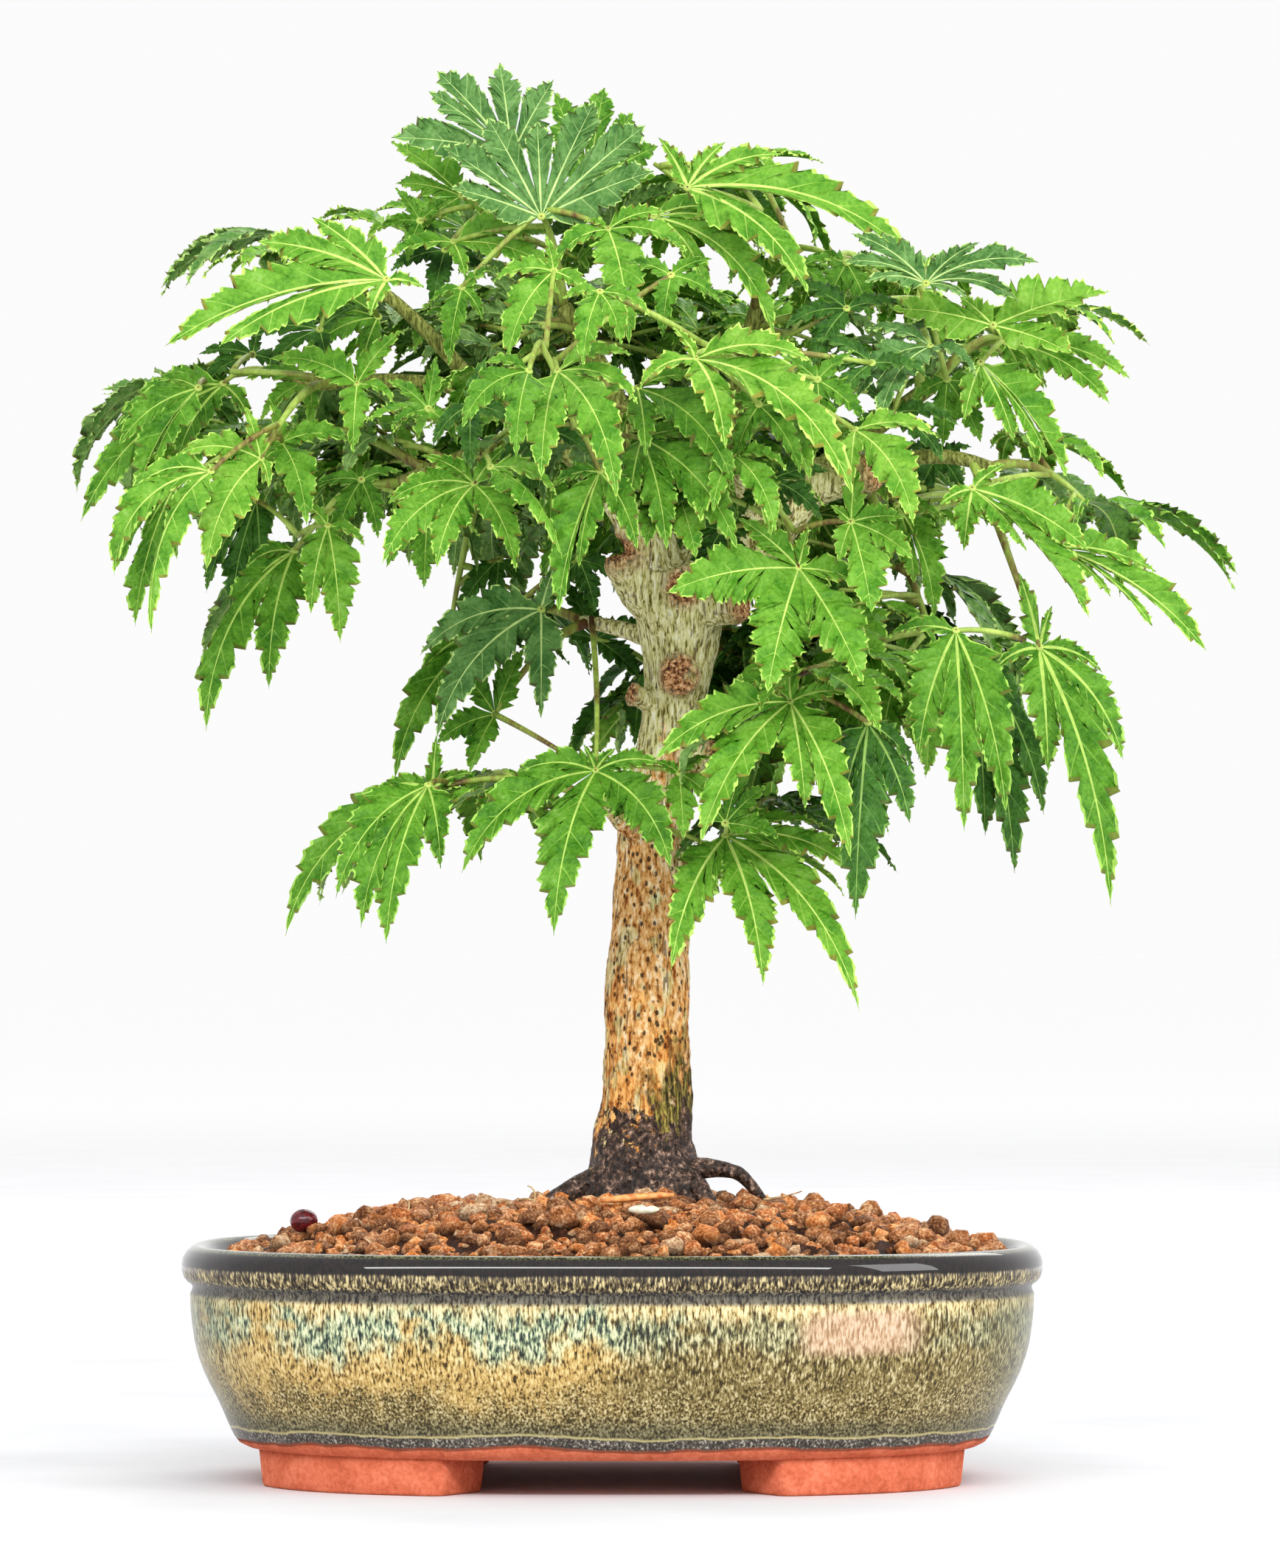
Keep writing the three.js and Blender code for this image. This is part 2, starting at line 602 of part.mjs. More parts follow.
// Leaves of a mass: opposite pairs back along the stem, and one leaf at the end of the stem
function leavesOf(mass, stemCurve) {
  const random = seededRandom(mass.seed);
  const spread = (amount) => (random() - 0.5) * 2 * amount;
  const leaves = [];
  for (let pair = 0; pair < mass.pairs; pair += 1) {
    const share = FIRST_PAIR_AT - (PAIRS_SHARE * pair) / mass.pairs;
    const node = stemCurve.getPoint(share);
    for (const side of [-1, 1]) {
      const turn = PAIR_TURN + TURN_PER_PAIR * pair;
      const heading = mass.heading + side * turn + spread(TURN_STRAY);
      const slope = mass.slope * PAIR_SLOPE_SHARE + spread(SLOPE_STRAY);
      const away = PETIOLE_LENGTH * (1 + PETIOLE_PER_PAIR * pair + spread(PETIOLE_STRAY));
      const rise = LEAF_RISE + spread(RISE_STRAY) + (pair % 2 ? CROSSED_RISE * side : 0);
      const centre = node.clone().add(at(
        away * Math.cos(rad(heading)),
        away * Math.sin(rad(heading)),
        rise,
      ));
      const length = mass.leaf * SIDE_LEAF_SHARE * (1 + spread(SIZE_STRAY));
      leaves.push({ node, centre, heading, slope, length, droop: LEAF_DROOP });
    }
  }
  const { heading, slope, leaf: length, droop } = mass;
  return [{ centre: at(...mass.end), heading, slope, length, droop }, ...leaves];
}

function boxesMeet(a, b) {
  return [0, 1, 2].every((axis) => a.min[axis] < b.max[axis] && b.min[axis] < a.max[axis]);
}

// Whether every edge of a solid still has two faces once its corners are rounded
function isOneSkin(solid) {
  const { vertProperties, triVerts } = solid.getMesh();
  const corner = (vertex) => [0, 1, 2].map((axis) => (
    Math.round(vertProperties[3 * vertex + axis] / HAIR))).join();
  const uses = new Map();
  for (let k = 0; k < triVerts.length; k += 3) {
    const names = [0, 1, 2].map((step) => corner(triVerts[k + step]));
    if (new Set(names).size < 3) continue;
    for (let step = 0; step < 3; step += 1) {
      const edge = [names[step], names[(step + 1) % 3]].sort().join('|');
      uses.set(edge, (uses.get(edge) ?? 0) + 1);
    }
  }
  return [...uses.values()].every((count) => count === 2);
}

const touches = (solid, others) => others.some((other) => (
  boxesMeet(solid.boundingBox(), other.boundingBox()) && !solid.intersect(other).isEmpty()
));

const group = new THREE.Group();
group.name = 'japanese_maple_bonsai';

const barkFinish = finish(0.5, 0.43, 0.31, 0.85);
const trunk = trunkSolid();
group.add(meshOf('pot', potSolid(), finish(0.36, 0.37, 0.25, 0.25)));
group.add(meshOf('soil', soilSolid(), finish(0.42, 0.23, 0.14, 0.95)));
group.add(meshOf('trunk', trunk, barkFinish));

// Each limb is cut clear of the trunk and of the limbs before it
const limbs = [trunk];
let carriers = trunkSolid(GAP);
for (const limb of LIMBS) {
  const solid = largestBody(limbSolid(limb).subtract(carriers));
  carriers = carriers.add(limbSolid(limb, GAP));
  limbs.push(solid);
  group.add(meshOf(limb.name, solid, barkFinish));
}

// Stems come before leaves, so that leaves keep off all of them
const masses = MASSES.map((given, index) => {
  const mass = { seed: index + 1, droop: LEAF_DROOP, ...given };
  const start = limbCurve(LIMBS.find(({ name }) => name === mass.on)).getPoint(mass.share);
  const end = at(...mass.end);
  const bend = start.clone().lerp(end, 0.5).addScaledVector(UP, STEM_ARCH);
  const curve = new THREE.QuadraticBezierCurve3(start, bend, end);
  const stemBar = (extra) => bar(curve, (t) => (
    STEM_RADIUS + (PETIOLE_RADIUS - STEM_RADIUS) * t + extra), TWIG_SIDES, STEM_RINGS);
  const solid = largestBody(stemBar(0).subtract(carriers));
  carriers = carriers.add(stemBar(2 * GAP));
  return { name: mass.name, solid, leaves: leavesOf(mass, curve), centres: [] };
});

// Adds a leaf to its mass, turned a little if need be, or leaves it out
function addLeaf(mass, leaf) {
  const others = masses.filter((other) => other !== mass);
  const obstacles = [...limbs, ...others.map(({ solid }) => solid)];
  const petioles = leaf.node ? [petioleSolid(leaf.node, leaf.centre)] : [];
  const crowded = masses.some(({ centres }) => (
    centres.some((centre) => centre.distanceTo(leaf.centre) < LEAF_SPACING)));
  if (crowded || petioles.some((petiole) => touches(petiole, obstacles))) return;
  for (const [turn, tilt] of LEAF_TRIES) {
    const tried = { ...leaf, heading: leaf.heading + turn, slope: leaf.slope + tilt };
    if (touches(leafSolid(tried, GAP), obstacles)) continue;
    const blade = leafSolid(tried);
    const joined = largestBody(joinAll([mass.solid, ...petioles, blade]).simplify(FINEST_EDGE));
    const gained = joined.volume() - mass.solid.volume();
    if (isOneSkin(joined) && gained > blade.volume() * LEAST_OF_LEAF) {
      mass.solid = joined;
      mass.centres.push(leaf.centre);
      return;
    }
  }
}

// The end leaves of all the masses come first, then their pairs in turn
const mostLeaves = Math.max(...masses.map(({ leaves }) => leaves.length));
for (let turn = 0; turn < mostLeaves; turn += 1) {
  for (const mass of masses) {
    if (turn < mass.leaves.length) addLeaf(mass, mass.leaves[turn]);
  }
}
const leafFinish = finish(0.2, 0.44, 0.13, 0.5);
for (const { name, solid } of masses) group.add(meshOf(name, solid, leafFinish));

// The origin is the middle of the whole part's box, at the underside of the feet
const box = new THREE.Box3().setFromObject(group);
const middle = box.getCenter(new THREE.Vector3());
group.position.set(-middle.x, -middle.y, 0);
group.updateMatrixWorld(true);

export default group;
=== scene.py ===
# %% [markdown]
# # A japanese maple bonsai in its glazed pot
# The plain solids of a small potted tree are already fixed in place. Here each of them gets the
# surface of the real thing: a runny olive glaze, loose clay grains, fissured bark, and sprays of
# toothed leaves that arch over and hang. Lengths are written in millimetres round the pot's
# middle, because that is how a potter or a grower would measure, and are turned into the
# frame's metres once, when a piece is finished.

# %% Load the solids
import math

import bmesh
import bpy
import numpy as np
from mathutils import Matrix, Vector, noise
from mathutils.bvhtree import BVHTree


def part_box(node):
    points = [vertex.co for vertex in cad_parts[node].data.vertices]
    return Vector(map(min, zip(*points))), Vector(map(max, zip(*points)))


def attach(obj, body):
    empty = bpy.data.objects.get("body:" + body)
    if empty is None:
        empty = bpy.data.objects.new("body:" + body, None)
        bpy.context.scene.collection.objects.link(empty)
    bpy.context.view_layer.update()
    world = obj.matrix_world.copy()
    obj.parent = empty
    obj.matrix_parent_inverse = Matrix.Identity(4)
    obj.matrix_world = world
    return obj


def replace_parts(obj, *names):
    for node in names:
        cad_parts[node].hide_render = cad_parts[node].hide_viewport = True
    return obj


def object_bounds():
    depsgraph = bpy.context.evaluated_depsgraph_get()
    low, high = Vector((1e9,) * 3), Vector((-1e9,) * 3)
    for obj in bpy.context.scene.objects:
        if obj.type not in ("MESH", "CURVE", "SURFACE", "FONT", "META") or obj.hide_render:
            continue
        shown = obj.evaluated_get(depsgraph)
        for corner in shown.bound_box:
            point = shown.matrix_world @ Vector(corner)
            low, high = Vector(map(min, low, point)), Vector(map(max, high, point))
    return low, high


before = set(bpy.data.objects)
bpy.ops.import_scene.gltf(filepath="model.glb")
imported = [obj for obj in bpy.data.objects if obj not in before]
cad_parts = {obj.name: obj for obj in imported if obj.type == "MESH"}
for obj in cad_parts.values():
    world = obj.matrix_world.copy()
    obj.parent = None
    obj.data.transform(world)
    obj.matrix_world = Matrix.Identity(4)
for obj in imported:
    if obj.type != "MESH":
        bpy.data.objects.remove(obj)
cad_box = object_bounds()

MM = 0.001
pot_low, pot_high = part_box("pot")
POT = Vector(((pot_low.x + pot_high.x) / 2, (pot_low.y + pot_high.y) / 2, 0))
TO_FRAME = Matrix.Translation(POT) @ Matrix.Scale(MM, 4)
print("pot", [round(side / MM) for side in pot_high - pot_low], "mm,", len(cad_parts), "solids")

# %% [markdown]
# ## Camera
# The picture was taken from well back with a long lens, a little above the rim of the pot. A
# camera that stands level and shifts its film would keep the uprights parallel, but a tilt of
# one degree gives the same picture and lets the camera go round the tree for other views.

# %% Place the camera
PHOTO_HEIGHT = 2127
MM_PER_PIXEL = 0.176
FOOT_ROW = 2003
CAMERA_AWAY = 1800
CAMERA_HEIGHT = 130
CAMERA_ASIDE = 6.6
FILM_HEIGHT = 24

pixels_away = CAMERA_AWAY / MM_PER_PIXEL
eye_row = FOOT_ROW - CAMERA_HEIGHT / MM_PER_PIXEL
tilt = math.atan((eye_row - PHOTO_HEIGHT / 2) / pixels_away)
lens = bpy.data.cameras.new("long_lens")
lens.sensor_fit = "VERTICAL"
lens.sensor_height = FILM_HEIGHT
lens.lens = FILM_HEIGHT * pixels_away / PHOTO_HEIGHT
lens.clip_start = 0.05
camera = bpy.data.objects.new("camera", lens)
camera.location = TO_FRAME @ Vector((CAMERA_ASIDE, -CAMERA_AWAY, CAMERA_HEIGHT))
camera.rotation_euler = (math.pi / 2 + tilt, 0, 0)
bpy.context.scene.collection.objects.link(camera)
bpy.context.scene.camera = camera
print(f"lens {lens.lens:.0f} mm, tilted up {math.degrees(tilt):.2f} degrees")

# %% [markdown]
# ## Paint box
# Every finish below is a small recipe of noise, ramps and masks. Nodes could be added one by
# one, but the sums are far easier to read as sums. A Wire is the value that leaves a socket,
# and ordinary arithmetic on it adds the Math nodes. Everything else comes from one method.

# %% Wires that take arithmetic
def srgb(red, green, blue):
    """A colour as seen on a screen, 0 to 255, in the light values that a shader takes."""
    shares = [value / 255 for value in (red, green, blue)]
    return tuple(s / 12.92 if s <= 0.04045 else ((s + 0.055) / 1.055) ** 2.4 for s in shares) + (1,)


class Wire:
    """The value that leaves a socket. Sums on it add Math nodes to its paint."""

    def __init__(self, paint, socket):
        self.paint = paint
        self.socket = socket

    def math(self, operation, first, second=0):
        return self.paint.node("ShaderNodeMath", {"operation": operation}, {0: first, 1: second})

    def __add__(self, other):
        return self.math("ADD", self, other)

    def __sub__(self, other):
        return self.math("SUBTRACT", self, other)

    def __rsub__(self, other):
        return self.math("SUBTRACT", other, self)

    def __mul__(self, other):
        return self.math("MULTIPLY", self, other)

    def __abs__(self):
        return self.math("ABSOLUTE", self)

    def at_least(self, other):
        return self.math("MAXIMUM", self, other)

    __radd__ = __add__
    __rmul__ = __mul__


# %% The paint box itself
class Paint:
    """One procedural material. Its place is in millimetres round the pot's middle, and its
    colours are given as seen on a screen."""

    def __init__(self, name, **constants):
        self.material = bpy.data.materials.new(name)
        self.material.use_nodes = True
        self.tree = self.material.node_tree
        self.shader = self.tree.nodes["Principled BSDF"]
        for socket, value in constants.items():
            self.shader.inputs[socket.replace("_", " ")].default_value = value
        object_place = self.node("ShaderNodeTexCoord", output="Object")
        middle = tuple(-side / MM for side in POT)
        self.place = self.node("ShaderNodeMapping", inputs={
            "Vector": object_place, "Location": middle, "Scale": (1 / MM, 1 / MM, 1 / MM)})

    def node(self, kind, settings=(), inputs=(), output=0):
        made = self.tree.nodes.new(kind)
        for name, value in dict(settings).items():
            if name == "stops":
                while len(made.color_ramp.elements) < len(value):
                    made.color_ramp.elements.new(0.5)
                for stop, (position, tone) in zip(made.color_ramp.elements, value):
                    stop.position = position
                    stop.color = srgb(*tone)
            else:
                setattr(made, name, value)
        for name, value in dict(inputs).items():
            if isinstance(value, Wire):
                self.tree.links.new(value.socket, made.inputs[name])
            else:
                made.inputs[name].default_value = value
        return Wire(self, made.outputs[output])

    def axis(self, name):
        return self.node("ShaderNodeSeparateXYZ", inputs={0: self.place}, output=name)

    def stretched(self, stretch, shift=(0, 0, 0)):
        """The place, drawn out along X, Y and Z, so that a pattern on it is too."""
        return self.node("ShaderNodeMapping", inputs={
            "Vector": self.place, "Location": shift, "Scale": tuple(1 / s for s in stretch)})

    def noise(self, size, detail=2, rough=0.5, stretch=(1, 1, 1), shift=(0, 0, 0), warp=0):
        """Cloudy grey from 0 to 1, with clouds of about this size in millimetres."""
        return self.node("ShaderNodeTexNoise", inputs={
            "Vector": self.stretched(stretch, shift), "Scale": 1 / size, "Detail": detail,
            "Roughness": rough, "Distortion": warp})

    def cells(self, size, stretch=(1, 1, 1)):
        """How far each point lies from the middle of its cell."""
        return self.node("ShaderNodeTexVoronoi", inputs={
            "Vector": self.stretched(stretch), "Scale": 1 / size}, output="Distance")

    def rise(self, value, start, end):
        """0 below start, 1 above end, and smooth between them. It falls if end is lower."""
        return self.node("ShaderNodeMapRange", {"interpolation_type": "SMOOTHSTEP"}, {
            "Value": value, "From Min": start, "From Max": end})

    def band(self, value, low, high, soft):
        """1 from low to high and 0 outside, with borders this soft."""
        return self.rise(value, low - soft, low + soft) * self.rise(value, high + soft, high - soft)

    def ramp(self, value, *stops):
        return self.node("ShaderNodeValToRGB", {"stops": stops}, {"Fac": value})

    def mix(self, share, base, over):
        """The base, and as much of a wire or a screen colour over it as the share says."""
        over = over if isinstance(over, Wire) else srgb(*over)
        return self.node("ShaderNodeMix", {"data_type": "RGBA"}, {0: share, 6: base, 7: over}, 2)

    def near(self, spot, reach):
        """1 close to a spot, fading to 0 at its reach."""
        away = self.node("ShaderNodeVectorMath", {"operation": "DISTANCE"}, {
            0: self.place, 1: spot}, "Value")
        return self.rise(away, reach, reach * 0.45)

    def wear(self, colour=None, roughness=None, bumps=(), coat=None):
        """Joins the finished wires to the shader. Each bump is a height, its depth in mm."""
        for name, wire in {"Base Color": colour, "Roughness": roughness, "Coat Weight": coat}.items():
            if wire is not None:
                self.tree.links.new(wire.socket, self.shader.inputs[name])
        normal = None
        for height, depth in bumps:
            inputs = {"Height": height, "Distance": depth * MM, "Strength": 1}
            if normal:
                inputs["Normal"] = normal
            normal = self.node("ShaderNodeBump", inputs=inputs)
        if normal:
            self.tree.links.new(normal.socket, self.shader.inputs["Normal"])
        return self.material


# %% [markdown]
# ## Shaping tools
# Bent round things make up most of the tree: the trunk, roots, boughs, twigs and petioles. A
# curve with a bevel would do for one of them, but an operator chain gives a closed mesh at
# once. A ring of edges is made, then extruded from point to point and turned as the line turns.

# %% Round bars along a line
def ring_frames(line):
    """For each point of a line, a matrix whose Z axis runs along the line, without twisting."""
    points = [Vector(point) for point in line]
    along = [(points[min(k + 1, len(points) - 1)] - points[max(k - 1, 0)]).normalized()
             for k in range(len(points))]
    turn = along[0].to_track_quat("Z", "Y")
    frames = []
    for k, point in enumerate(points):
        if k:
            turn = along[k - 1].rotation_difference(along[k]) @ turn
        frames.append(Matrix.Translation(point) @ turn.to_matrix().to_4x4())
    return frames


def only(kind, items):
    return [item for item in items if isinstance(item, kind)]


def round_bar(bm, line, radii, sides):
    """A closed bar: a disc, extruded along the line to rings of the given radii."""
    places = [place @ Matrix.Scale(radius, 4) for place, radius in zip(ring_frames(line), radii)]
    verts = bmesh.ops.create_circle(
        bm, cap_ends=True, radius=1, segments=sides, matrix=places[0])["verts"]
    disc = verts[0].link_faces[0]
    disc.normal_flip()
    edges = list(disc.edges)
    for before, after in zip(places, places[1:]):
        grown = bmesh.ops.extrude_edge_only(bm, edges=edges)["geom"]
        fresh = only(bmesh.types.BMVert, grown)
        ring = set(fresh)
        edges = [edge for edge in only(bmesh.types.BMEdge, grown) if ring.issuperset(edge.verts)]
        bmesh.ops.transform(bm, matrix=after @ before.inverted(), verts=fresh)
    bmesh.ops.contextual_create(bm, geom=edges)


def curve_point(start, middle, end, share):
    """A point of the curve that leaves its start for the middle and arrives from it."""
    rest = 1 - share
    return start * rest ** 2 + middle * 2 * share * rest + end * share * share


def bend(curve, steps):
    curve = [Vector(point) for point in curve]
    return [curve_point(*curve, step / steps) for step in range(steps + 1)]


def tapered_bar(bm, curve, steps, thick, thin, sides):
    round_bar(bm, bend(curve, steps), np.linspace(thick, thin, steps + 1), sides)


# %% Finished pieces
def link(name, mesh, materials):
    piece = bpy.data.objects.new(name, mesh)
    bpy.context.scene.collection.objects.link(piece)
    for material in materials:
        mesh.materials.append(material)
    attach(piece, "root")
    print(f"{name}: {sum(len(face.vertices) - 2 for face in mesh.polygons):,} triangles")
    return piece


def piece_of(name, bm, paint):
    """Turns a bmesh in millimetres into a piece of the frame."""
    bmesh.ops.transform(bm, matrix=TO_FRAME, verts=bm.verts)
    bmesh.ops.recalc_face_normals(bm, faces=bm.faces)
    for face in bm.faces:
        face.smooth = True
    mesh = bpy.data.meshes.new(name)
    bm.to_mesh(mesh)
    bm.free()
    return link(name, mesh, [paint.material])


def arrays_of(bm):
    """The points and faces of a bmesh as arrays. The bmesh is given up."""
    points = np.array([vert.co for vert in bm.verts])
    faces = np.array([[vert.index for vert in face.verts] for face in bm.faces])
    bm.free()
    return points, faces


def joined_piece(name, parts, materials, smooth=True):
    """One mesh from many parts. A part is an array of points, one of faces with equal sides and
    one of their materials, and may have one of the painted shade at its points."""
    starts = np.cumsum([0] + [len(part[0]) for part in parts])
    faces = np.concatenate([part[1] + start for part, start in zip(parts, starts)])
    points, kinds = (np.concatenate([part[k] for part in parts]) for k in (0, 2))
    mesh = bpy.data.meshes.new(name)
    mesh.vertices.add(len(points))
    mesh.vertices.foreach_set("co", (points * MM + np.array(POT)).astype(np.float32).ravel())
    mesh.loops.add(faces.size)
    mesh.loops.foreach_set("vertex_index", faces.astype(np.int32).ravel())
    mesh.polygons.add(len(faces))
    corners = faces.shape[1]
    mesh.polygons.foreach_set("loop_start", np.arange(0, faces.size, corners, dtype=np.int32))
    mesh.polygons.foreach_set("material_index", kinds.astype(np.int32))
    mesh.polygons.foreach_set("use_smooth", np.full(len(faces), smooth))
    mesh.update(calc_edges=True)
    # a fourth array is the painted shade, kept as a point attribute for the paint to read
    if len(parts[0]) > 3:
        shades = np.concatenate([part[3] for part in parts])
        sunk = mesh.attributes.new("sunk", "FLOAT", "POINT")
        sunk.data.foreach_set("value", shades.astype(np.float32))
    return link(name, mesh, materials)


# %% [markdown]
# ## Pot
# The pot is pressed in a mould and fired, so it is an oval with soft edges everywhere: a
# rolled lip over a narrow groove, a side that draws in towards the foot, and low feet that
# follow the oval. A profile spun round and then pulled out to the oval gives the bowl in one
# closed skin. The feet are outlines pushed down from its floor and rounded off with a bevel.

# %% Spin the bowl
POT_WIDTH, POT_DEPTH = 205, 154
POT_SQUARENESS = 2.6
BOWL_STEPS = 180
FOOT_HEIGHT = 8
BOWL_PROFILE = [
    (0, 8.2), (60, 8.2), (84, 8.3), (87, 8.7), (88.8, 9.6), (89.9, 11), (90.7, 12.6), (91.5, 14.4),
    (92.6, 17), (94, 20), (95.6, 23), (97, 26), (98.3, 29.5), (99.2, 33), (99.8, 37), (100.2, 41),
    (100.3, 44.4), (99.9, 45.2), (99.7, 46), (100, 46.8), (101, 47.4), (101.8, 48.4), (102.3, 50),
    (102.4, 51.6), (102, 53.2), (101.1, 54.6), (99.8, 55.6), (98.4, 55.9), (97.2, 55.5),
    (96.4, 54.5), (95.9, 53), (95.4, 50), (94.2, 40), (90.4, 25), (82.4, 17.4), (72, 15.3), (0, 15.2),
]


def oval_reach(angle, half_width):
    """Distance from the middle to an oval of this half width, in a direction."""
    half_depth = half_width * POT_DEPTH / POT_WIDTH
    x = abs(math.cos(angle) / half_width) ** POT_SQUARENESS
    y = abs(math.sin(angle) / half_depth) ** POT_SQUARENESS
    return (x + y) ** (-1 / POT_SQUARENESS)


bowl = bmesh.new()
line = [bowl.verts.new((half, 0, height)) for half, height in BOWL_PROFILE]
edges = [bowl.edges.new(pair) for pair in zip(line, line[1:])]
bmesh.ops.spin(bowl, geom=line + edges, cent=(0, 0, 0), axis=(0, 0, 1), angle=math.tau,
               steps=BOWL_STEPS, use_merge=True)
bmesh.ops.remove_doubles(bowl, verts=bowl.verts, dist=0.001)
for vert in bowl.verts:
    half = math.hypot(vert.co.x, vert.co.y)
    if half > 1:
        angle = math.atan2(vert.co.y, vert.co.x)
        reach = oval_reach(angle, half)
        vert.co.x, vert.co.y = reach * math.cos(angle), reach * math.sin(angle)
print("bowl", len(bowl.faces), "faces")

# %% Push out the feet
FOOT_FROM, FOOT_TO = math.radians(17), math.radians(58)
FOOT_OUTER, FOOT_INNER = 0.845, 0.62
FOOT_STEPS = 14
FOOT_DRAW = 0.965
SUNK_IN_FLOOR = 1
CORNER_ROUND, SOLE_ROUND = 2.6, 0.9


def soften(bm, edges, offset, segments):
    bmesh.ops.bevel(bm, geom=edges, offset=offset, segments=segments, profile=0.5,
                    affect="EDGES", material=-1)


def add_foot(across, along):
    """One foot: an arched outline under the floor, extruded down, drawn in and rounded."""
    bm = bmesh.new()
    angles = [FOOT_FROM + (FOOT_TO - FOOT_FROM) * k / FOOT_STEPS for k in range(FOOT_STEPS + 1)]
    outline = [(share * POT_WIDTH / 2, angle) for share, turn in (
        (FOOT_OUTER, 1), (FOOT_INNER, -1)) for angle in angles[::turn]]
    drop = FOOT_HEIGHT + SUNK_IN_FLOOR
    corners = []
    for half, angle in outline:
        reach = oval_reach(angle, half)
        corners.append(bm.verts.new((
            across * reach * math.cos(angle), along * reach * math.sin(angle), drop)))
    grown = bmesh.ops.extrude_face_region(bm, geom=[bm.faces.new(corners)])["geom"]
    low = only(bmesh.types.BMVert, grown)
    bmesh.ops.translate(bm, verts=low, vec=(0, 0, -drop))
    middle = sum((vert.co for vert in low), Vector()) / len(low)
    bmesh.ops.scale(bm, vec=(FOOT_DRAW, FOOT_DRAW, 1), verts=low, space=Matrix.Translation(-middle))
    ends = (0, FOOT_STEPS, FOOT_STEPS + 1, 2 * FOOT_STEPS + 1)
    uprights = [edge for k in ends for edge in corners[k].link_edges
                if edge.other_vert(corners[k]).co.z < 1]
    soften(bm, uprights, CORNER_ROUND, 4)
    sole = min(bm.faces, key=lambda face: (face.calc_center_median().z, -len(face.verts)))
    soften(bm, list(sole.edges), SOLE_ROUND, 3)
    bmesh.ops.recalc_face_normals(bm, faces=bm.faces)
    mesh = bpy.data.meshes.new("foot")
    bm.to_mesh(mesh)
    bm.free()
    bowl.from_mesh(mesh)
    bpy.data.meshes.remove(mesh)


for across in (-1, 1):
    for along in (-1, 1):
        add_foot(across, along)
print("with feet", len(bowl.faces), "faces")

# %% [markdown]
# ## Glaze
# The glaze was thick and ran in the kiln. It broke to cream and ochre streaks down the side,
# stayed teal and dark where it pooled under the lip, and turned almost black on the lip
# itself. A cream line and a dark band mark where it stopped, with bare red clay below. Shade
# and light are painted in as well: the ends and the low side darker as painted shade, the
# groove darker as pooled glaze and painted shade, and the top of the lip lighter as a painted
# highlight. A picture could carry all that, but noise stretched downwards gives the same runs
# all round.

# %% Lay the glaze's patterns
glaze = Paint("olive_ash_glaze", Coat_Roughness=0.015, Specular_IOR_Level=0.04)
x, y, z = (glaze.axis(name) for name in "XYZ")
wander = glaze.noise(16) * 3 - 1.5
runs = glaze.noise(3.4, detail=3, rough=0.65, stretch=(1, 1, 7), warp=0.3)
patch = glaze.noise(15, rough=0.6, stretch=(1, 1, 0.8))
specks = glaze.noise(0.54, rough=0.6, stretch=(1, 1, 1.4))
streaks = glaze.noise(0.58, rough=0.6, stretch=(1, 1, 3.8))
clouds = glaze.noise(5)
height = z + wander + (runs - 0.5) * 15 + (patch - 0.5) * 18
upper = glaze.rise(height, 22, 30)
mottle = glaze.node("ShaderNodeMapRange", {}, {
    "Value": specks * (1 - upper) + streaks * upper + (clouds - 0.5) * 0.14 + (runs - 0.5) * 0.12,
    "From Min": 0.34, "From Max": 0.66})
GLAZE_TONES = {
    # for each part of the glaze, the colours that darker and lighter mottle gives
    "body": ((0.08, (54, 44, 22)), (0.32, (96, 82, 44)), (0.52, (128, 112, 66)),
             (0.72, (158, 142, 94)), (0.94, (204, 192, 150))),
    "ochre": ((0.05, (60, 46, 20)), (0.22, (118, 94, 50)), (0.4, (178, 146, 82)),
              (0.68, (204, 174, 108)), (0.94, (226, 206, 150))),
    "teal": ((0.08, (30, 42, 42)), (0.3, (70, 90, 80)), (0.48, (120, 142, 114)),
             (0.64, (170, 184, 144)), (0.86, (216, 220, 184))),
    "cream": ((0.06, (80, 64, 34)), (0.24, (140, 116, 70)), (0.42, (202, 180, 122)),
              (0.82, (232, 216, 168))),
    "rose": ((0.05, (150, 116, 84)), (0.4, (188, 156, 122)), (0.8, (214, 188, 160))),
    # painted shade: a darker olive where the oval turns away at its ends
    "olive_end_shade": ((0.15, (58, 62, 40)), (0.8, (140, 144, 110))),
    # painted shade low on the side, where it draws in under the belly
    "low_side_shade": ((0.2, (46, 46, 32)), (0.8, (104, 102, 78))),
    "lip": ((0.15, (30, 22, 18)), (0.45, (84, 72, 52)), (0.66, (128, 114, 78)),
            (0.95, (206, 190, 140))),
    "lip_black": ((0.2, (4, 2, 3)), (0.8, (30, 18, 16))),
    # painted highlight on the top of the lip
    "lip_top_highlight": ((0.3, (60, 64, 44)), (0.8, (170, 168, 124))),
    # darker in the groove: partly glaze pooled there, partly painted shade
    "groove": ((0.2, (30, 32, 38)), (0.8, (78, 78, 80))),
    "dark_band": ((0.2, (50, 46, 42)), (0.75, (98, 92, 84)), (0.95, (170, 164, 150))),
}
tones = {name: glaze.ramp(mottle, *stops) for name, stops in GLAZE_TONES.items()}
print(len(tones), "tones of glaze")

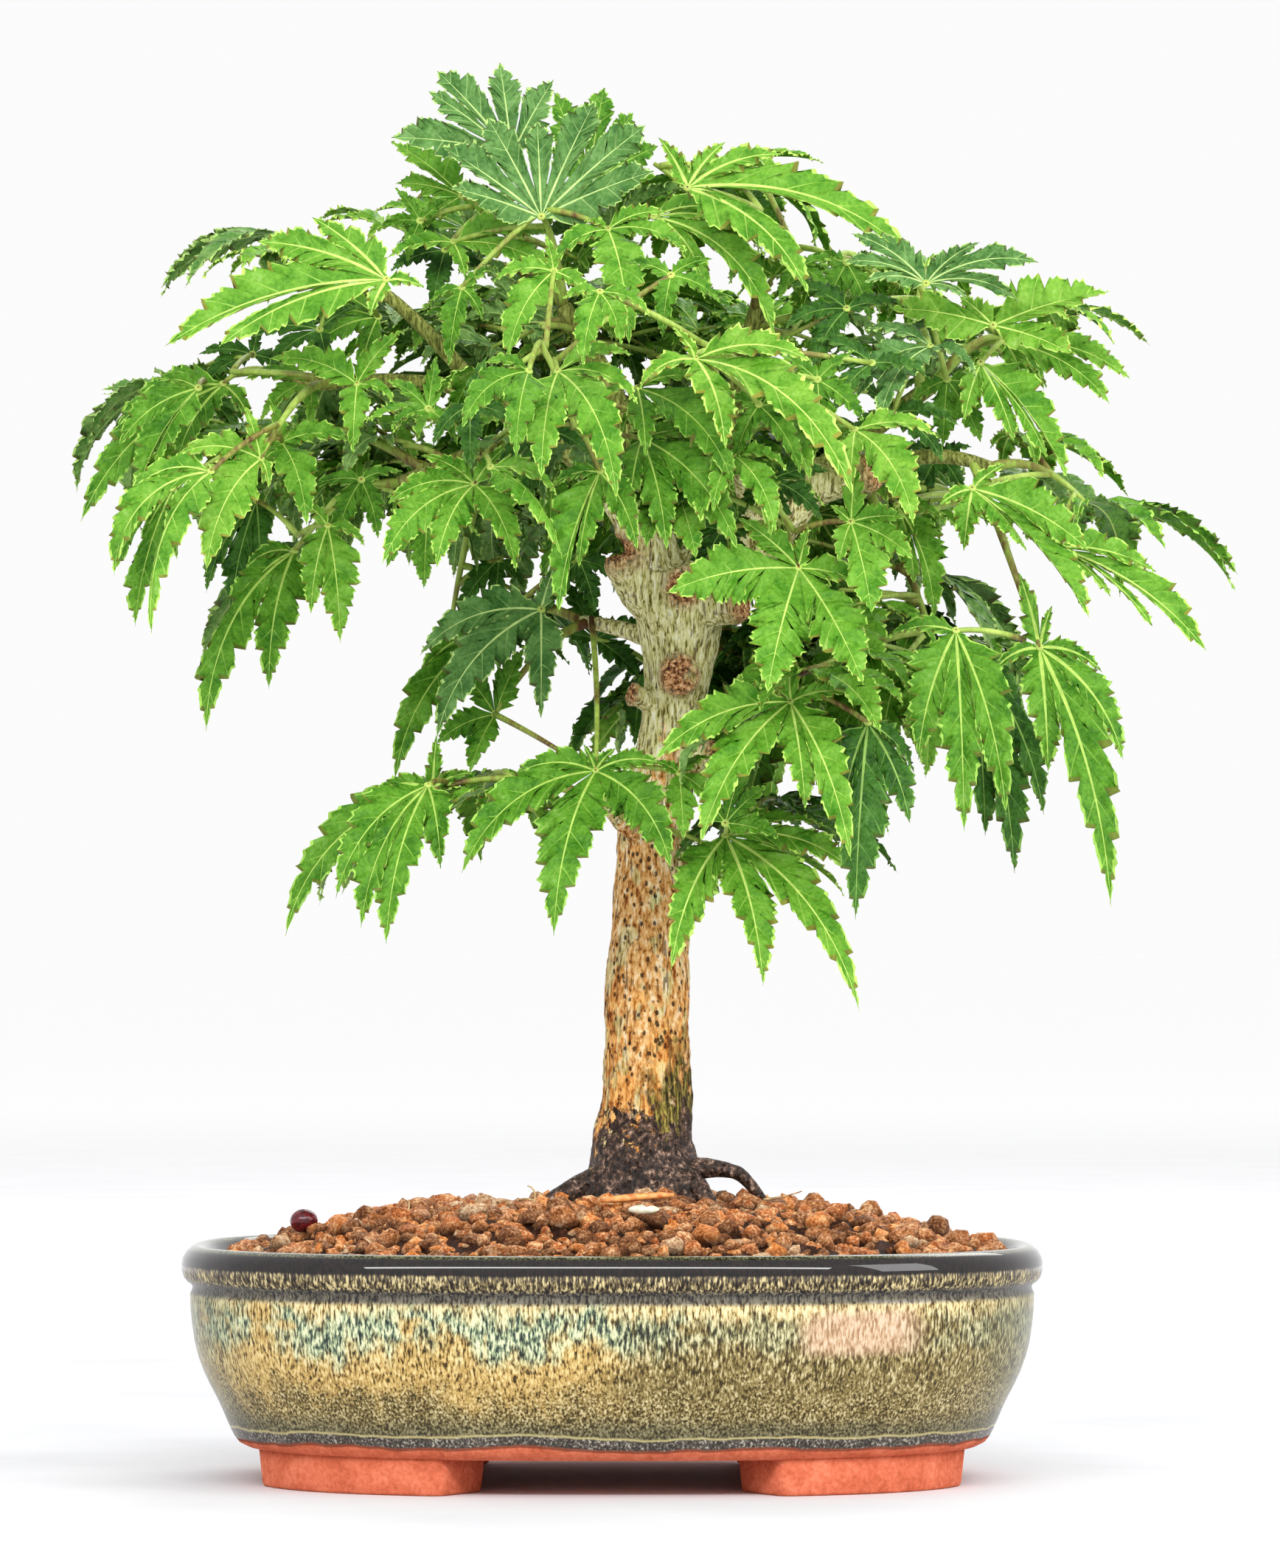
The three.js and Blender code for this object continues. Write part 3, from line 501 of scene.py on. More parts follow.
# %% Paint the side from the body up
CREAM_LINE, OCHRE_FALL, TEAL_POOL, ROSE_SPOT = (41.5, 46), (23, 41), (34.5, 43), (33.5, 43)
ROSE_ACROSS = (46, 70)
around = x + wander * 5 + y * 0.15 + (patch - 0.5) * 30
left_part = glaze.rise(around, 18, -22)
cream = glaze.band(z + wander * 0.6 + (runs - 0.5) * 9, *CREAM_LINE, 1.6) * 0.9
ochre = glaze.band(height, *OCHRE_FALL, 5) * glaze.rise(around, 2, -22)
teal = glaze.band(height, *TEAL_POOL, 3.6) * (0.3 + left_part * 0.62) * glaze.rise(
    patch + clouds * 0.4 + left_part * 0.1, 0.58, 0.74)
rose = glaze.band(z + wander, *ROSE_SPOT, 2) * glaze.band(x + wander * 4, *ROSE_ACROSS, 5)
# painted shade towards both ends of the oval
olive_end_shade = glaze.rise(abs(x), 80, 99) * 0.6
# painted shade: darker low on the side
low_side_shade = glaze.rise(z + wander * 1.5, 20, 14.5) * 0.75
colour = tones["body"]
for share, name in ((cream, "cream"), (ochre, "ochre"), (teal, "teal"), (rose, "rose"),
                    (olive_end_shade, "olive_end_shade"), (low_side_shade, "low_side_shade")):
    colour = glaze.mix(share, colour, tones[name])

# %% Lip, groove, dark band and bare clay
BLACK_FROM, LIP_FROM, GROOVE_FROM = 50.8, 46.2, 44.6
GLAZE_LINE, CLAY_LINE = 13.7, 11.5
CREAM_EDGE, DIRTY_EDGE = (204, 192, 134), (84, 50, 40)
lip = glaze.mix(glaze.rise(z + wander * 0.3, BLACK_FROM, BLACK_FROM + 0.8), tones["lip"], tones["lip_black"])
# painted highlight: the top of the lip is paler
lip = glaze.mix(glaze.rise(z, 54.8, 55.6) * 0.5, lip, tones["lip_top_highlight"])
colour = glaze.mix(glaze.rise(z, LIP_FROM, LIP_FROM + 1.4), colour, lip)
# the groove darkened, partly as pooled glaze and partly as painted shade
colour = glaze.mix(glaze.band(z, GROOVE_FROM, GROOVE_FROM + 3, 0.7) * 0.85, colour, tones["groove"])
low_line = z + (glaze.noise(9) - 0.5) * 1.6 + (glaze.noise(38, detail=1) - 0.5) * 3
colour = glaze.mix(glaze.rise(low_line, GLAZE_LINE + 0.3, GLAZE_LINE - 0.1), colour, tones["dark_band"])
colour = glaze.mix(glaze.band(low_line, GLAZE_LINE, GLAZE_LINE + 0.4, 0.3) * 0.8, colour, CREAM_EDGE)
clay_grain = glaze.noise(1.1, detail=4, rough=0.7)
clay = glaze.ramp(clay_grain * 0.6 + clouds * 0.4, (0.3, (170, 82, 54)), (0.5, (205, 108, 78)),
                  (0.72, (228, 138, 106)))
bare = glaze.rise(low_line, CLAY_LINE, CLAY_LINE - 0.4)
colour = glaze.mix(bare, colour, clay)
colour = glaze.mix(glaze.band(low_line, CLAY_LINE - 0.8, CLAY_LINE, 0.2) * 0.7, colour, DIRTY_EDGE)
gloss = (1 - bare) * (0.42 + glaze.rise(z, 49.5, 51) * 0.58)
glaze.wear(colour, 0.3 + mottle * 0.1 + bare * 0.4, coat=gloss, bumps=[
    (clouds, 0.2), (mottle * (1 - bare) * glaze.rise(z, 50, 49), 0.05), (clay_grain * bare, 0.25)])
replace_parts(piece_of("glazed_pot", bowl, glaze), "pot")

# %% [markdown]
# ## Soil
# The tree grows in baked clay grains, sieved to a few millimetres and heaped towards the
# trunk. The solid mound and its clods stay as the bed, painted dark as the shade between the
# grains. Over it lie thousands of grains. Physics could drop them, but they would take minutes
# to settle, and a scatter that follows the mound looks the same. Each grain is a lump of a few
# dozen faces, turned and stretched in its own way. The undersides are painted darker: painted
# shade, as in the shaded hollows between real grains.

# %% Read the mound's height
GROUND = 64
MOUND_HALF_WIDTH = 95
TRUNK_FOOT = (7.5, 0)
chance = np.random.RandomState(11)
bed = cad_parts["soil"]
mound = BVHTree.FromPolygons([vert.co for vert in bed.data.vertices],
                             [face.vertices[:] for face in bed.data.polygons])


def mound_height(x, y):
    """The top of the solid mound, found by a ray from above."""
    hit = mound.ray_cast(TO_FRAME @ Vector((x, y, 2 * GROUND)), Vector((0, 0, -1)))[0]
    return hit.z / MM if hit else GROUND


def smoothstep(value, start, end):
    share = min(1, max(0, (value - start) / (end - start)))
    return share * share * (3 - 2 * share)


# %% A few lumps of clay
LUMP_KINDS = 12
KNOBBLES = [
    # height, fineness, and each seed's shift in the noise
    (0.34, 1.3, (7, 0, 0)), (0.3, 3.1, (0, 5, 0)),
]
FLAT_CUTS, CUT_LEVEL, CUT_SHARE = 6, (0.55, 0.85), 0.85


def lump(seed):
    """A crumb of 80 faces, knobbly, and cut flat here and there."""
    bm = bmesh.new()
    bmesh.ops.create_icosphere(bm, subdivisions=2, radius=1)
    draw = np.random.RandomState(seed)
    for vert in bm.verts:
        push = 1
        for height, fineness, shift in KNOBBLES:
            push += height * noise.noise(vert.co * fineness + Vector(shift) * seed)
        vert.co *= push
    for _ in range(FLAT_CUTS):
        side = Vector(draw.normal(size=3)).normalized()
        level = draw.uniform(*CUT_LEVEL)
        for vert in bm.verts:
            over = vert.co.dot(side) - level
            if over > 0:
                vert.co -= side * over * CUT_SHARE
    return arrays_of(bm)


lumps = [lump(seed) for seed in range(1, LUMP_KINDS + 1)]
print(len(lumps), "lumps of", len(lumps[0][1]), "faces")

# %% Scatter the grains
GRAIN_SIZES = (2.2, 8.2)
BED_GRAINS = dict(spacing=3.7, mean_size=4.2, spread=0.26, lift=-0.2, share=1)
LOOSE_GRAINS = dict(spacing=5.7, mean_size=5.2, spread=0.28, lift=0.06, share=0.72)
ROW_SHARE, SHAKE = 0.87, 0.2
ROOM_AT_TRUNK, ROOM_AT_WALL = 12.5, 0.45
HEAP_HEIGHT, HEAP_REACH, HEAP_SLOPE, LEAST_HEAPED = 3, 34, 20, 0.2
GRAIN_STRETCH = (0.76, 1.14)
UNDERSIDE_SHADE_AT_MIDDLE, UNDERSIDE_SHADE_BELOW = 0.72, 2.2
CLAY_SHARES = (0.34, 0.26, 0.2, 0.13, 0.07)


def scatter(spacing, mean_size, spread, lift, share):
    """Grain places on a shaken grid: x, y, z and size of each, clear of wall and trunk."""
    found = []
    for row in range(int(POT_DEPTH / spacing / ROW_SHARE)):
        for column in range(int(POT_WIDTH / spacing)):
            x = (column + 0.5 * (row % 2)) * spacing - POT_WIDTH / 2 + chance.normal(0, spacing * SHAKE)
            y = row * spacing * ROW_SHARE - POT_DEPTH / 2 + chance.normal(0, spacing * SHAKE)
            size = float(np.clip(chance.lognormal(math.log(mean_size), spread), *GRAIN_SIZES))
            wall = oval_reach(math.atan2(y, x), MOUND_HALF_WIDTH - size * ROOM_AT_WALL)
            at_trunk = math.hypot(x - TRUNK_FOOT[0], y - TRUNK_FOOT[1])
            if math.hypot(x, y) > wall or at_trunk < ROOM_AT_TRUNK or chance.uniform() > share:
                continue
            heap = HEAP_HEIGHT * smoothstep(HEAP_REACH - at_trunk, 0, HEAP_SLOPE)
            z = mound_height(x, y) + lift * size + heap * chance.uniform(LEAST_HEAPED, 1)
            found.append((x, y, z, size))
    return found


grains = []
for x, y, z, size in scatter(**BED_GRAINS) + scatter(**LOOSE_GRAINS):
    shape, shape_faces = lumps[chance.randint(LUMP_KINDS)]
    turn = np.array(Vector(chance.normal(size=3)).to_track_quat("Z", "Y").to_matrix())
    stretch = chance.uniform(*GRAIN_STRETCH, 3) * size / 2
    turned = (shape * stretch) @ turn.T
    # painted shade: the lower part of each grain is shaded more, by its height in the grain
    sunk = np.clip(UNDERSIDE_SHADE_AT_MIDDLE - turned[:, 2] / size * UNDERSIDE_SHADE_BELOW, 0, 1)
    clay = np.full(len(shape_faces), chance.choice(len(CLAY_SHARES), p=CLAY_SHARES))
    grains.append((turned + (x, y, z), shape_faces, clay, sunk))
print(len(grains), "grains")

# %% Baked clay
# the near-black brown of the painted shade under the grains
UNDERSIDE_SHADE_BROWN = (26, 9, 3)
CLAY_TONES = {
    "baked_clay_brown": ((70, 32, 10), (184, 114, 62), (248, 204, 158)),
    "baked_clay_red": ((82, 34, 10), (200, 116, 60), (252, 208, 156)),
    "baked_clay_dark": ((40, 17, 6), (132, 80, 44), (210, 160, 116)),
    "baked_clay_orange": ((116, 50, 14), (228, 138, 68), (255, 216, 158)),
    "baked_clay_pale": ((104, 68, 40), (204, 156, 110), (254, 234, 200)),
    # the bed is painted near black as the shade between the grains
    "painted_shade_bed": ((18, 8, 4), (48, 24, 14), (86, 52, 34)),
}


def baked_clay(name, dark, middle, light):
    paint = Paint(name, Specular_IOR_Level=0.15)
    grain = paint.noise(0.7, detail=4, rough=0.75)
    cloud = paint.noise(3)
    colour = paint.ramp(grain * 0.7 + cloud * 0.3, (0.36, dark), (0.5, middle), (0.62, light))
    # painted shade: the darker underside of each grain, read from its attribute
    sunk = paint.node("ShaderNodeAttribute", {"attribute_name": "sunk"}, output="Fac")
    colour = paint.mix(sunk * 0.96, colour, UNDERSIDE_SHADE_BROWN)
    return paint.wear(colour, 0.4 + grain * 0.3, bumps=[(grain, 0.5)])


*clays, shaded_bed = [baked_clay(name, *tones) for name, tones in CLAY_TONES.items()]
joined_piece("soil_grains", grains, clays, smooth=False)
# the solid mound under the grains is painted in that shade
bed.data.materials.clear()
bed.data.materials.append(shaded_bed)

# %% Odds and ends on the soil
FINE_ROOTS = [
    ((-22, -14, 66.5), (-19, -18, 68), (-15, -17, 64)), ((-19, -18, 64), (-17, -16, 69.5), (-20, -15, 70)),
    ((-52, -22, 60.5), (-50, -25, 64), (-53, -27, 60)), ((-50, -27, 60), (-47, -24, 65), (-48, -22, 67)),
    ((22, -16, 66), (26, -20, 66), (29, -24, 61)), ((36, -8, 66.5), (41, -9, 67), (45, -9, 68.5)),
    ((8, -22, 64), (13, -26, 64), (12, -30, 61.5)), ((-34, 20, 64), (-30, 24, 66), (-27, 27, 62)),
]


def rest_on_soil(x, y, over):
    return Vector((x, y, mound_height(x, y) + over))


def trinket(name, tone, dark_tone, shine, shape):
    """A small thing that lies on the soil, with a lightly clouded colour."""
    paint = Paint(name + "_colour", Specular_IOR_Level=0.5)
    cloud = paint.noise(1.6, detail=3)
    colour = paint.ramp(cloud, (0.35, dark_tone), (0.65, tone))
    paint.wear(colour, shine + cloud * 0.1, bumps=[(cloud, 0.2)])
    bm = bmesh.new()
    shape(bm)
    piece_of(name, bm, paint)


def chip_shape(bm):
    start, end = rest_on_soil(-2.5, -34, 3.4), rest_on_soil(14.5, -33, 4.6)
    middle = (start + end) / 2 + Vector((0, 0, 0.4))
    round_bar(bm, bend((start, middle, end), 6), [0.35, 0.8, 0.95, 0.9, 0.85, 0.8, 0.4], 6)


def ball(bm, middle, radii, turn=0):
    place = Matrix.Translation(middle) @ Matrix.Rotation(turn, 4, "Z") @ Matrix.Diagonal((*radii, 1))
    bmesh.ops.create_icosphere(bm, subdivisions=3, radius=1, matrix=place)


def seed_shape(bm):
    ball(bm, rest_on_soil(7.5, -46, 3.4), (3.9, 1.9, 1.2), -0.35)


def berry_shape(bm):
    ball(bm, rest_on_soil(-73, -12, 3.6), (3.3, 3.1, 2.9))


def roots_shape(bm):
    for curve in FINE_ROOTS:
        tapered_bar(bm, curve, 6, 0.34, 0.16, 5)


trinket("wood_chip", (246, 176, 104), (204, 112, 52), 0.5, chip_shape)
trinket("pale_seed", (246, 244, 226), (206, 208, 176), 0.4, seed_shape)
trinket("dark_berry", (112, 22, 32), (58, 10, 18), 0.16, berry_shape)
trinket("fine_roots", (228, 198, 140), (150, 112, 70), 0.6, roots_shape)

# %% [markdown]
# ## Trunk and boughs
# The trunk was cut back many times, so it is stout, full of knobs and pruning scars, and
# forks into boughs near the top. Sculpting is how an artist would do it. Here every limb is a
# round bar that starts inside the one that carries it. A voxel remesh melts them together
# with soft joints, and a relief is then pressed into that one skin.

# %% Where the trunk and its limbs run
TRUNK = [
    (64.3, 7.5, 0, 15.5), (70, 7.5, 0, 14), (79, 7.2, 0, 12), (86, 8, 0, 11.2), (97, 8.2, 0.3, 10.5),
    (115, 8.3, 0.8, 10.1), (132, 9.2, 1.2, 9.3), (151, 9.6, 1.6, 8.5), (168, 12, 2, 7.8),
    (181, 14.4, 2.2, 7.5), (192, 15.8, 2.4, 8.2), (201, 16.4, 2.4, 9.8), (210, 15.5, 2.4, 11),
    (217, 14, 2.4, 10),
]
ROOT_COUNT, ROOT_FLARE, FLARE_RISE = 5, 5, 5
STUBS = [
    ((14, -4, 73), (24, -6, 75), (30.5, -6, 72.5), 2.9, 1.7),
    ((29.5, -6, 73), (33, -6, 71), (38, -5, 62.5), 1.9, 1.2),
    ((16, -8, 72), (22, -12, 70), (24, -13, 62), 3, 2), ((2, -4, 72), (-8, -8, 70), (-19, -9, 63), 5, 1.8),
    ((6, 6, 72), (4, 14, 70), (-2, 21, 63), 5, 2), ((10, 1, 208), (4, -2, 214), (2.5, -3, 220), 6, 4.2),
    ((16, 0, 205), (24, -4, 207), (32, -7, 208), 5.4, 3.4),
    ((12, 0, 183), (8, -3, 186), (4, -4.5, 187), 3.4, 2.2),
    ((15, -2, 191), (16, -6, 191), (16, -8.5, 191), 5.2, 4.2),
    ((14, 0, 170), (20, -3, 171), (26, -5, 173), 4.2, 2.6),
]
LIMBS = {
    "bough_right": ((17, 3, 211), (34, 4, 218), (50, 0, 242), 7, 5.4),
    "bough_left": ((11, 1, 212), (4, -8, 242), (-34, -8, 260), 5, 2.6),
    "bough_top": ((13, 4, 212), (8, 8, 250), (-12, 2, 280), 4.6, 2.2),
    "bough_back": ((14, 6, 211), (8, 30, 222), (0, 52, 250), 4.6, 2.2),
    "bough_upper_right": ((18, 5, 212), (26, 20, 244), (36, 12, 284), 4.4, 2.2),
    "pruned_stub_right": ((46, 1, 235), (54, -2, 238), (63, -5, 240), 4.4, 4),
    "branch_upper_left": ((-32, -8, 259), (-42, -8, 272), (-54, -6, 282), 2.1, 1.6),
    "branch_far_left": ((-29, -8, 258), (-52, -2, 264), (-74, -2, 260), 2.1, 1.6),
    "branch_left_low": ((-10, -6, 250), (-30, 14, 248), (-52, 16, 238), 2.4, 1.6),
    "branch_front": ((0, -4, 240), (-6, -24, 248), (-12, -40, 254), 2.4, 1.6),
    "branch_front_right": ((34, 2, 223), (30, -24, 242), (26, -42, 252), 2.6, 1.6),
    "branch_right_up": ((49, 0, 240), (62, 4, 250), (78, 2, 262), 2.8, 2),
    "branch_right_out": ((61, -4, 240), (76, -12, 246), (90, -14, 240), 2.2, 1.6),
    "branch_right_back": ((44, 1, 232), (52, 24, 240), (66, 38, 236), 2.6, 1.6),
    "branch_back_left": ((5, 38, 234), (-16, 50, 240), (-38, 50, 240), 2.2, 1.6),
    "branch_back_low": ((16, 6, 197), (14, 26, 204), (12, 40, 200), 2.8, 1.8),
    "branch_low_right": ((17, -2, 180), (30, -12, 186), (40, -24, 184), 2.4, 1.6),
    "branch_low_left": ((8, -3, 152), (0, -12, 156), (-3, -18, 163), 2.2, 1.5),
    "branch_left_inner": ((10, 4, 200), (0, 14, 204), (-8, 18, 205), 2.4, 1.6),
}

# %% Join the wood
TRUNK_SIDES, TRUNK_STEPS = 48, 80
STUB_STEPS, STUB_SIDES = 8, 20
LIMB_STEPS, LIMB_SIDES = 14, 18


def between(values, shares):
    """Reads a row of values at shares from 0 to 1, smoothly."""
    values = np.asarray(values, float)
    places = np.linspace(0, 1, len(values))
    slopes = np.gradient(values, places)
    spots = np.clip(np.searchsorted(places, shares) - 1, 0, len(values) - 2)
    step = places[1] - places[0]
    t = (shares - places[spots]) / step
    low, high = values[spots], values[spots + 1]
    rise, fall = slopes[spots] * step, slopes[spots + 1] * step
    return ((2 * t ** 3 - 3 * t ** 2 + 1) * low + (t ** 3 - 2 * t ** 2 + t) * rise
            + (3 * t ** 2 - 2 * t ** 3) * high + (t ** 3 - t ** 2) * fall)


wood = bmesh.new()
heights, xs, ys, radii = (
    between([ring[k] for ring in TRUNK], np.linspace(0, 1, TRUNK_STEPS)) for k in range(4))
round_bar(wood, list(zip(xs, ys, heights)), radii, TRUNK_SIDES)
for vert in wood.verts:
    middle = Vector((np.interp(vert.co.z, heights, xs), np.interp(vert.co.z, heights, ys), vert.co.z))
    arm = vert.co - middle
    angle = math.atan2(-arm.y, arm.x)
    root = (0.5 + 0.5 * math.cos(ROOT_COUNT * angle + 1)) ** 2
    flare = ROOT_FLARE * root * math.exp((GROUND - vert.co.z) / FLARE_RISE)
    vert.co += arm.normalized() * flare if arm.length > 1 else Vector()
for *curve, thick, thin in STUBS:
    tapered_bar(wood, curve, STUB_STEPS, thick, thin, STUB_SIDES)
for *curve, thick, thin in LIMBS.values():
    tapered_bar(wood, curve, LIMB_STEPS, thick, thin, LIMB_SIDES)
print("wood before melting", len(wood.faces), "faces")

# %% Carve the skin of the wood
SCARS = [
    ((2.5, -3, 220), 6), ((32, -7, 208), 5.5), ((3.5, -5, 187), 3.4), ((16, -9, 191), 5.6),
    ((26, -5, 173), 4.4), ((63, -5, 240), 5.4), ((17, -8, 212), 5),
]
KNOBS, KNOB_GRAIN = 0.75, (0.13, 0.13, 0.1)
FISSURES, FISSURE_GRAIN, FISSURE_EDGE = 0.55, (0.75, 0.75, 0.16), 0.35
GRIT, GRIT_GRAIN = 0.2, (0.55, 0.55, 0.55)
CRUST, CRUST_BELOW, CRUST_SPAN = 1.6, 92, 28
THIN_FROM, THIN_SPAN, HIGH_FROM, HIGH_SPAN = 20, 8, 232, 12
LEAST_CARVED = 0.15
RING, RING_AT, RING_WIDTH = 0.7, 0.85, 0.22
CUP, CUP_SHARE, TORN, TORN_SHARE, SCAR_SHARE = 0.5, 0.7, 0.9, 1.2, 1.3


def relief(spot):
    """How far the bark stands out at a spot of the trunk: knobs, long fissures and grit."""
    def bump(grain, shift=(0, 0, 0)):
        return noise.noise(Vector(spot * grain + shift))

    fissure = FISSURE_EDGE - min(FISSURE_EDGE, abs(bump(FISSURE_GRAIN)))
    crust = 1 + CRUST * max(0, (CRUST_BELOW - spot[2]) / CRUST_SPAN)
    return (KNOBS * bump(KNOB_GRAIN, (0, 0, 4)) - FISSURES * fissure
            + GRIT * bump(GRIT_GRAIN, (9, 0, 0)) * crust)


def carve(mesh):
    """Presses fissures, knobs and scars into the skin, less on thin limbs."""
    count = len(mesh.vertices)
    places = np.empty(count * 3, np.float32)
    mesh.vertices.foreach_get("co", places)
    normals = np.empty(count * 3, np.float32)
    mesh.vertex_normals.foreach_get("vector", normals)
    places = (places.reshape(-1, 3) - np.array(POT)) / MM
    levels = places[:, 2]
    away = np.hypot(places[:, 0] - np.interp(levels, heights, xs),
                    places[:, 1] - np.interp(levels, heights, ys))
    stout = (np.clip((THIN_FROM - away) / THIN_SPAN, LEAST_CARVED, 1)
             * np.clip((HIGH_FROM - levels) / HIGH_SPAN, LEAST_CARVED, 1))
    push = stout * [relief(spot) for spot in places]
    for spot, reach in SCARS:
        off = np.linalg.norm(places - np.array(spot), axis=1) / reach
        for k in np.nonzero(off < SCAR_SHARE)[0]:
            rough = noise.noise(Vector(places[k]) * 0.8)
            ring = math.exp(-((off[k] - RING_AT) / RING_WIDTH) ** 2)
            cup, torn = max(0, CUP_SHARE - off[k]), max(0, TORN_SHARE - off[k])
            push[k] += RING * ring - CUP * cup + TORN * rough * torn
    places += normals.reshape(-1, 3) * push[:, None]
    places[:, 2] = np.maximum(places[:, 2], GROUND + 0.3)
    mesh.vertices.foreach_set("co", (places * MM + np.array(POT)).astype(np.float32).ravel())
    mesh.update()


# %% Melt the wood into one skin
VOXEL = 0.75
SMOOTHINGS = 3


def melt(piece):
    """Applies a voxel remesh and a smoothing to a piece's mesh."""
    remesh = piece.modifiers.new("melt", "REMESH")
    remesh.mode = "VOXEL"
    remesh.voxel_size = VOXEL * MM
    smooth = piece.modifiers.new("smooth", "SMOOTH")
    smooth.factor = 0.5
    smooth.iterations = SMOOTHINGS
    evaluated = piece.evaluated_get(bpy.context.evaluated_depsgraph_get())
    melted = bpy.data.meshes.new_from_object(evaluated)
    piece.modifiers.clear()
    old, piece.data = piece.data, melted
    name = old.name
    bpy.data.meshes.remove(old)
    melted.name = name
    return melted


bark = Paint("maple_bark", Specular_IOR_Level=0.3)
tree = piece_of("trunk_and_boughs", wood, bark)
skin = melt(tree)
carve(skin)
for face in skin.polygons:
    face.use_smooth = True
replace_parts(tree, "trunk", *LIMBS)
print("trunk and boughs", len(skin.polygons), "faces after melting")

# %% [markdown]
# ## Bark
# Young maple bark is grey-green with pale streaks. Older bark on the trunk is tan and flaky
# with dark pores, moss darkens its foot, and wet soil blackens the roots. Cut ends are rough
# and orange-brown. A painted picture would have to be unwrapped over every knob, so here the
# height above the feet decides which bark shows, with noise at each border.

# %% Kinds of bark
z = bark.axis("Z")
patches = bark.noise(7, detail=3, rough=0.6, stretch=(1, 1, 2))
fibres = bark.noise(0.75, detail=3, rough=0.65, stretch=(1, 1, 6))
flakes = bark.noise(1.25, detail=3, rough=0.65, stretch=(1, 1, 2.2))
crumbs = bark.noise(2.2, detail=3, rough=0.65)
mud = bark.noise(1.6, detail=4, rough=0.75)
torn = bark.noise(1, detail=4, rough=0.75)
BARK_TONES = {
    # the pattern that a kind of bark follows, and its colours from low to high
    "grey": (fibres, (0.36, (88, 82, 30)), (0.42, (178, 170, 100)), (0.5, (216, 210, 148)),
             (0.58, (232, 228, 178)), (0.68, (250, 248, 220))),
    "tan": (flakes, (0.34, (124, 64, 16)), (0.43, (204, 144, 76)), (0.53, (234, 184, 118)),
            (0.66, (254, 232, 194))),
    "ochre": (flakes, (0.34, (112, 54, 10)), (0.45, (200, 128, 54)), (0.6, (246, 190, 114))),
    "olive": (fibres, (0.36, (74, 80, 28)), (0.5, (124, 132, 58)), (0.64, (166, 170, 92))),
    "moss": (fibres, (0.38, (30, 26, 8)), (0.5, (78, 68, 24)), (0.66, (168, 152, 74))),
    "wet": (mud, (0.38, (16, 9, 7)), (0.5, (56, 40, 32)), (0.58, (104, 80, 66)),
            (0.68, (190, 160, 140))),
    "scar": (torn, (0.38, (40, 20, 10)), (0.47, (128, 78, 44)), (0.55, (206, 150, 98)),
             (0.68, (246, 216, 176))),
}
kinds = {name: bark.ramp(pattern, *stops) for name, (pattern, *stops) in BARK_TONES.items()}
print(len(kinds), "kinds of bark")

# %% Where each bark shows
CRACK_BROWN, PORE_BROWN = (74, 40, 14), (40, 18, 6)
across = bark.axis("X")
pores = bark.rise(bark.cells(1.5, stretch=(1, 1, 1.5)), 0.34, 0.18) * bark.rise(
    bark.noise(3, shift=(3, 8, 1)), 0.42, 0.52) * (1 - bark.rise(z, 150, 172) * 0.75)
cracks = bark.rise(bark.noise(1.1, detail=3, rough=0.6, stretch=(1, 1, 8), shift=(5, 1, 2)), 0.43, 0.37)
lichen = bark.rise(bark.noise(4.5, detail=3, stretch=(1, 1, 2), shift=(9, 2, 5)) + bark.rise(
    across, 6, -6) * 0.05, 0.54, 0.6)
level = z + (patches - 0.5) * 150
mossy = bark.rise(z + (patches - 0.5) * 50 + (crumbs - 0.5) * 40, 108, 96) * bark.rise(
    across + (patches - 0.5) * 40, 8, 15)
soaked = bark.rise(z + (patches - 0.5) * 40 + (crumbs - 0.5) * 46, 89, 84)
near_scars = [bark.near(spot, reach * SCAR_SHARE) for spot, reach in SCARS]
scarred = near_scars[0]
for near_scar in near_scars[1:]:
    scarred = scarred.at_least(near_scar)
colour = kinds["grey"]
for share, over in (
        (bark.rise(level, 168, 158), kinds["tan"]), (bark.rise(level + 6, 122, 108), kinds["ochre"]),
        (lichen * 0.6, kinds["grey"]), (cracks * 0.7, CRACK_BROWN), (mossy, kinds["moss"]),
        (soaked, kinds["wet"]), (bark.rise(z, 230, 244), kinds["olive"]),
        (scarred * bark.rise(patches, 0.3, 0.42), kinds["scar"]), (pores * 0.9, PORE_BROWN)):
    colour = bark.mix(share, colour, over)
roughness = 0.9 - bark.rise(z, 92, 74) * 0.42 + bark.noise(0.6) * 0.1
bark.wear(colour, roughness, bumps=[(fibres, 0.55), (flakes, 0.45), (1 - pores, 0.5)])

# %% [markdown]
# ## How the sprays grow
# Maples set their leaves in opposite pairs. Each spray is one stem that leaves a bough and
# ends in a leaf, with pairs behind it. Leaves could be scattered over a shape, but then nothing
# would carry them. So the seeded rule that placed the solids' leaves is written again here, and
# every large leaf stands where its solid stood. From the same joints finer twigs then fork,
# with smaller leaves, and fill the spray out to the size of the solid.

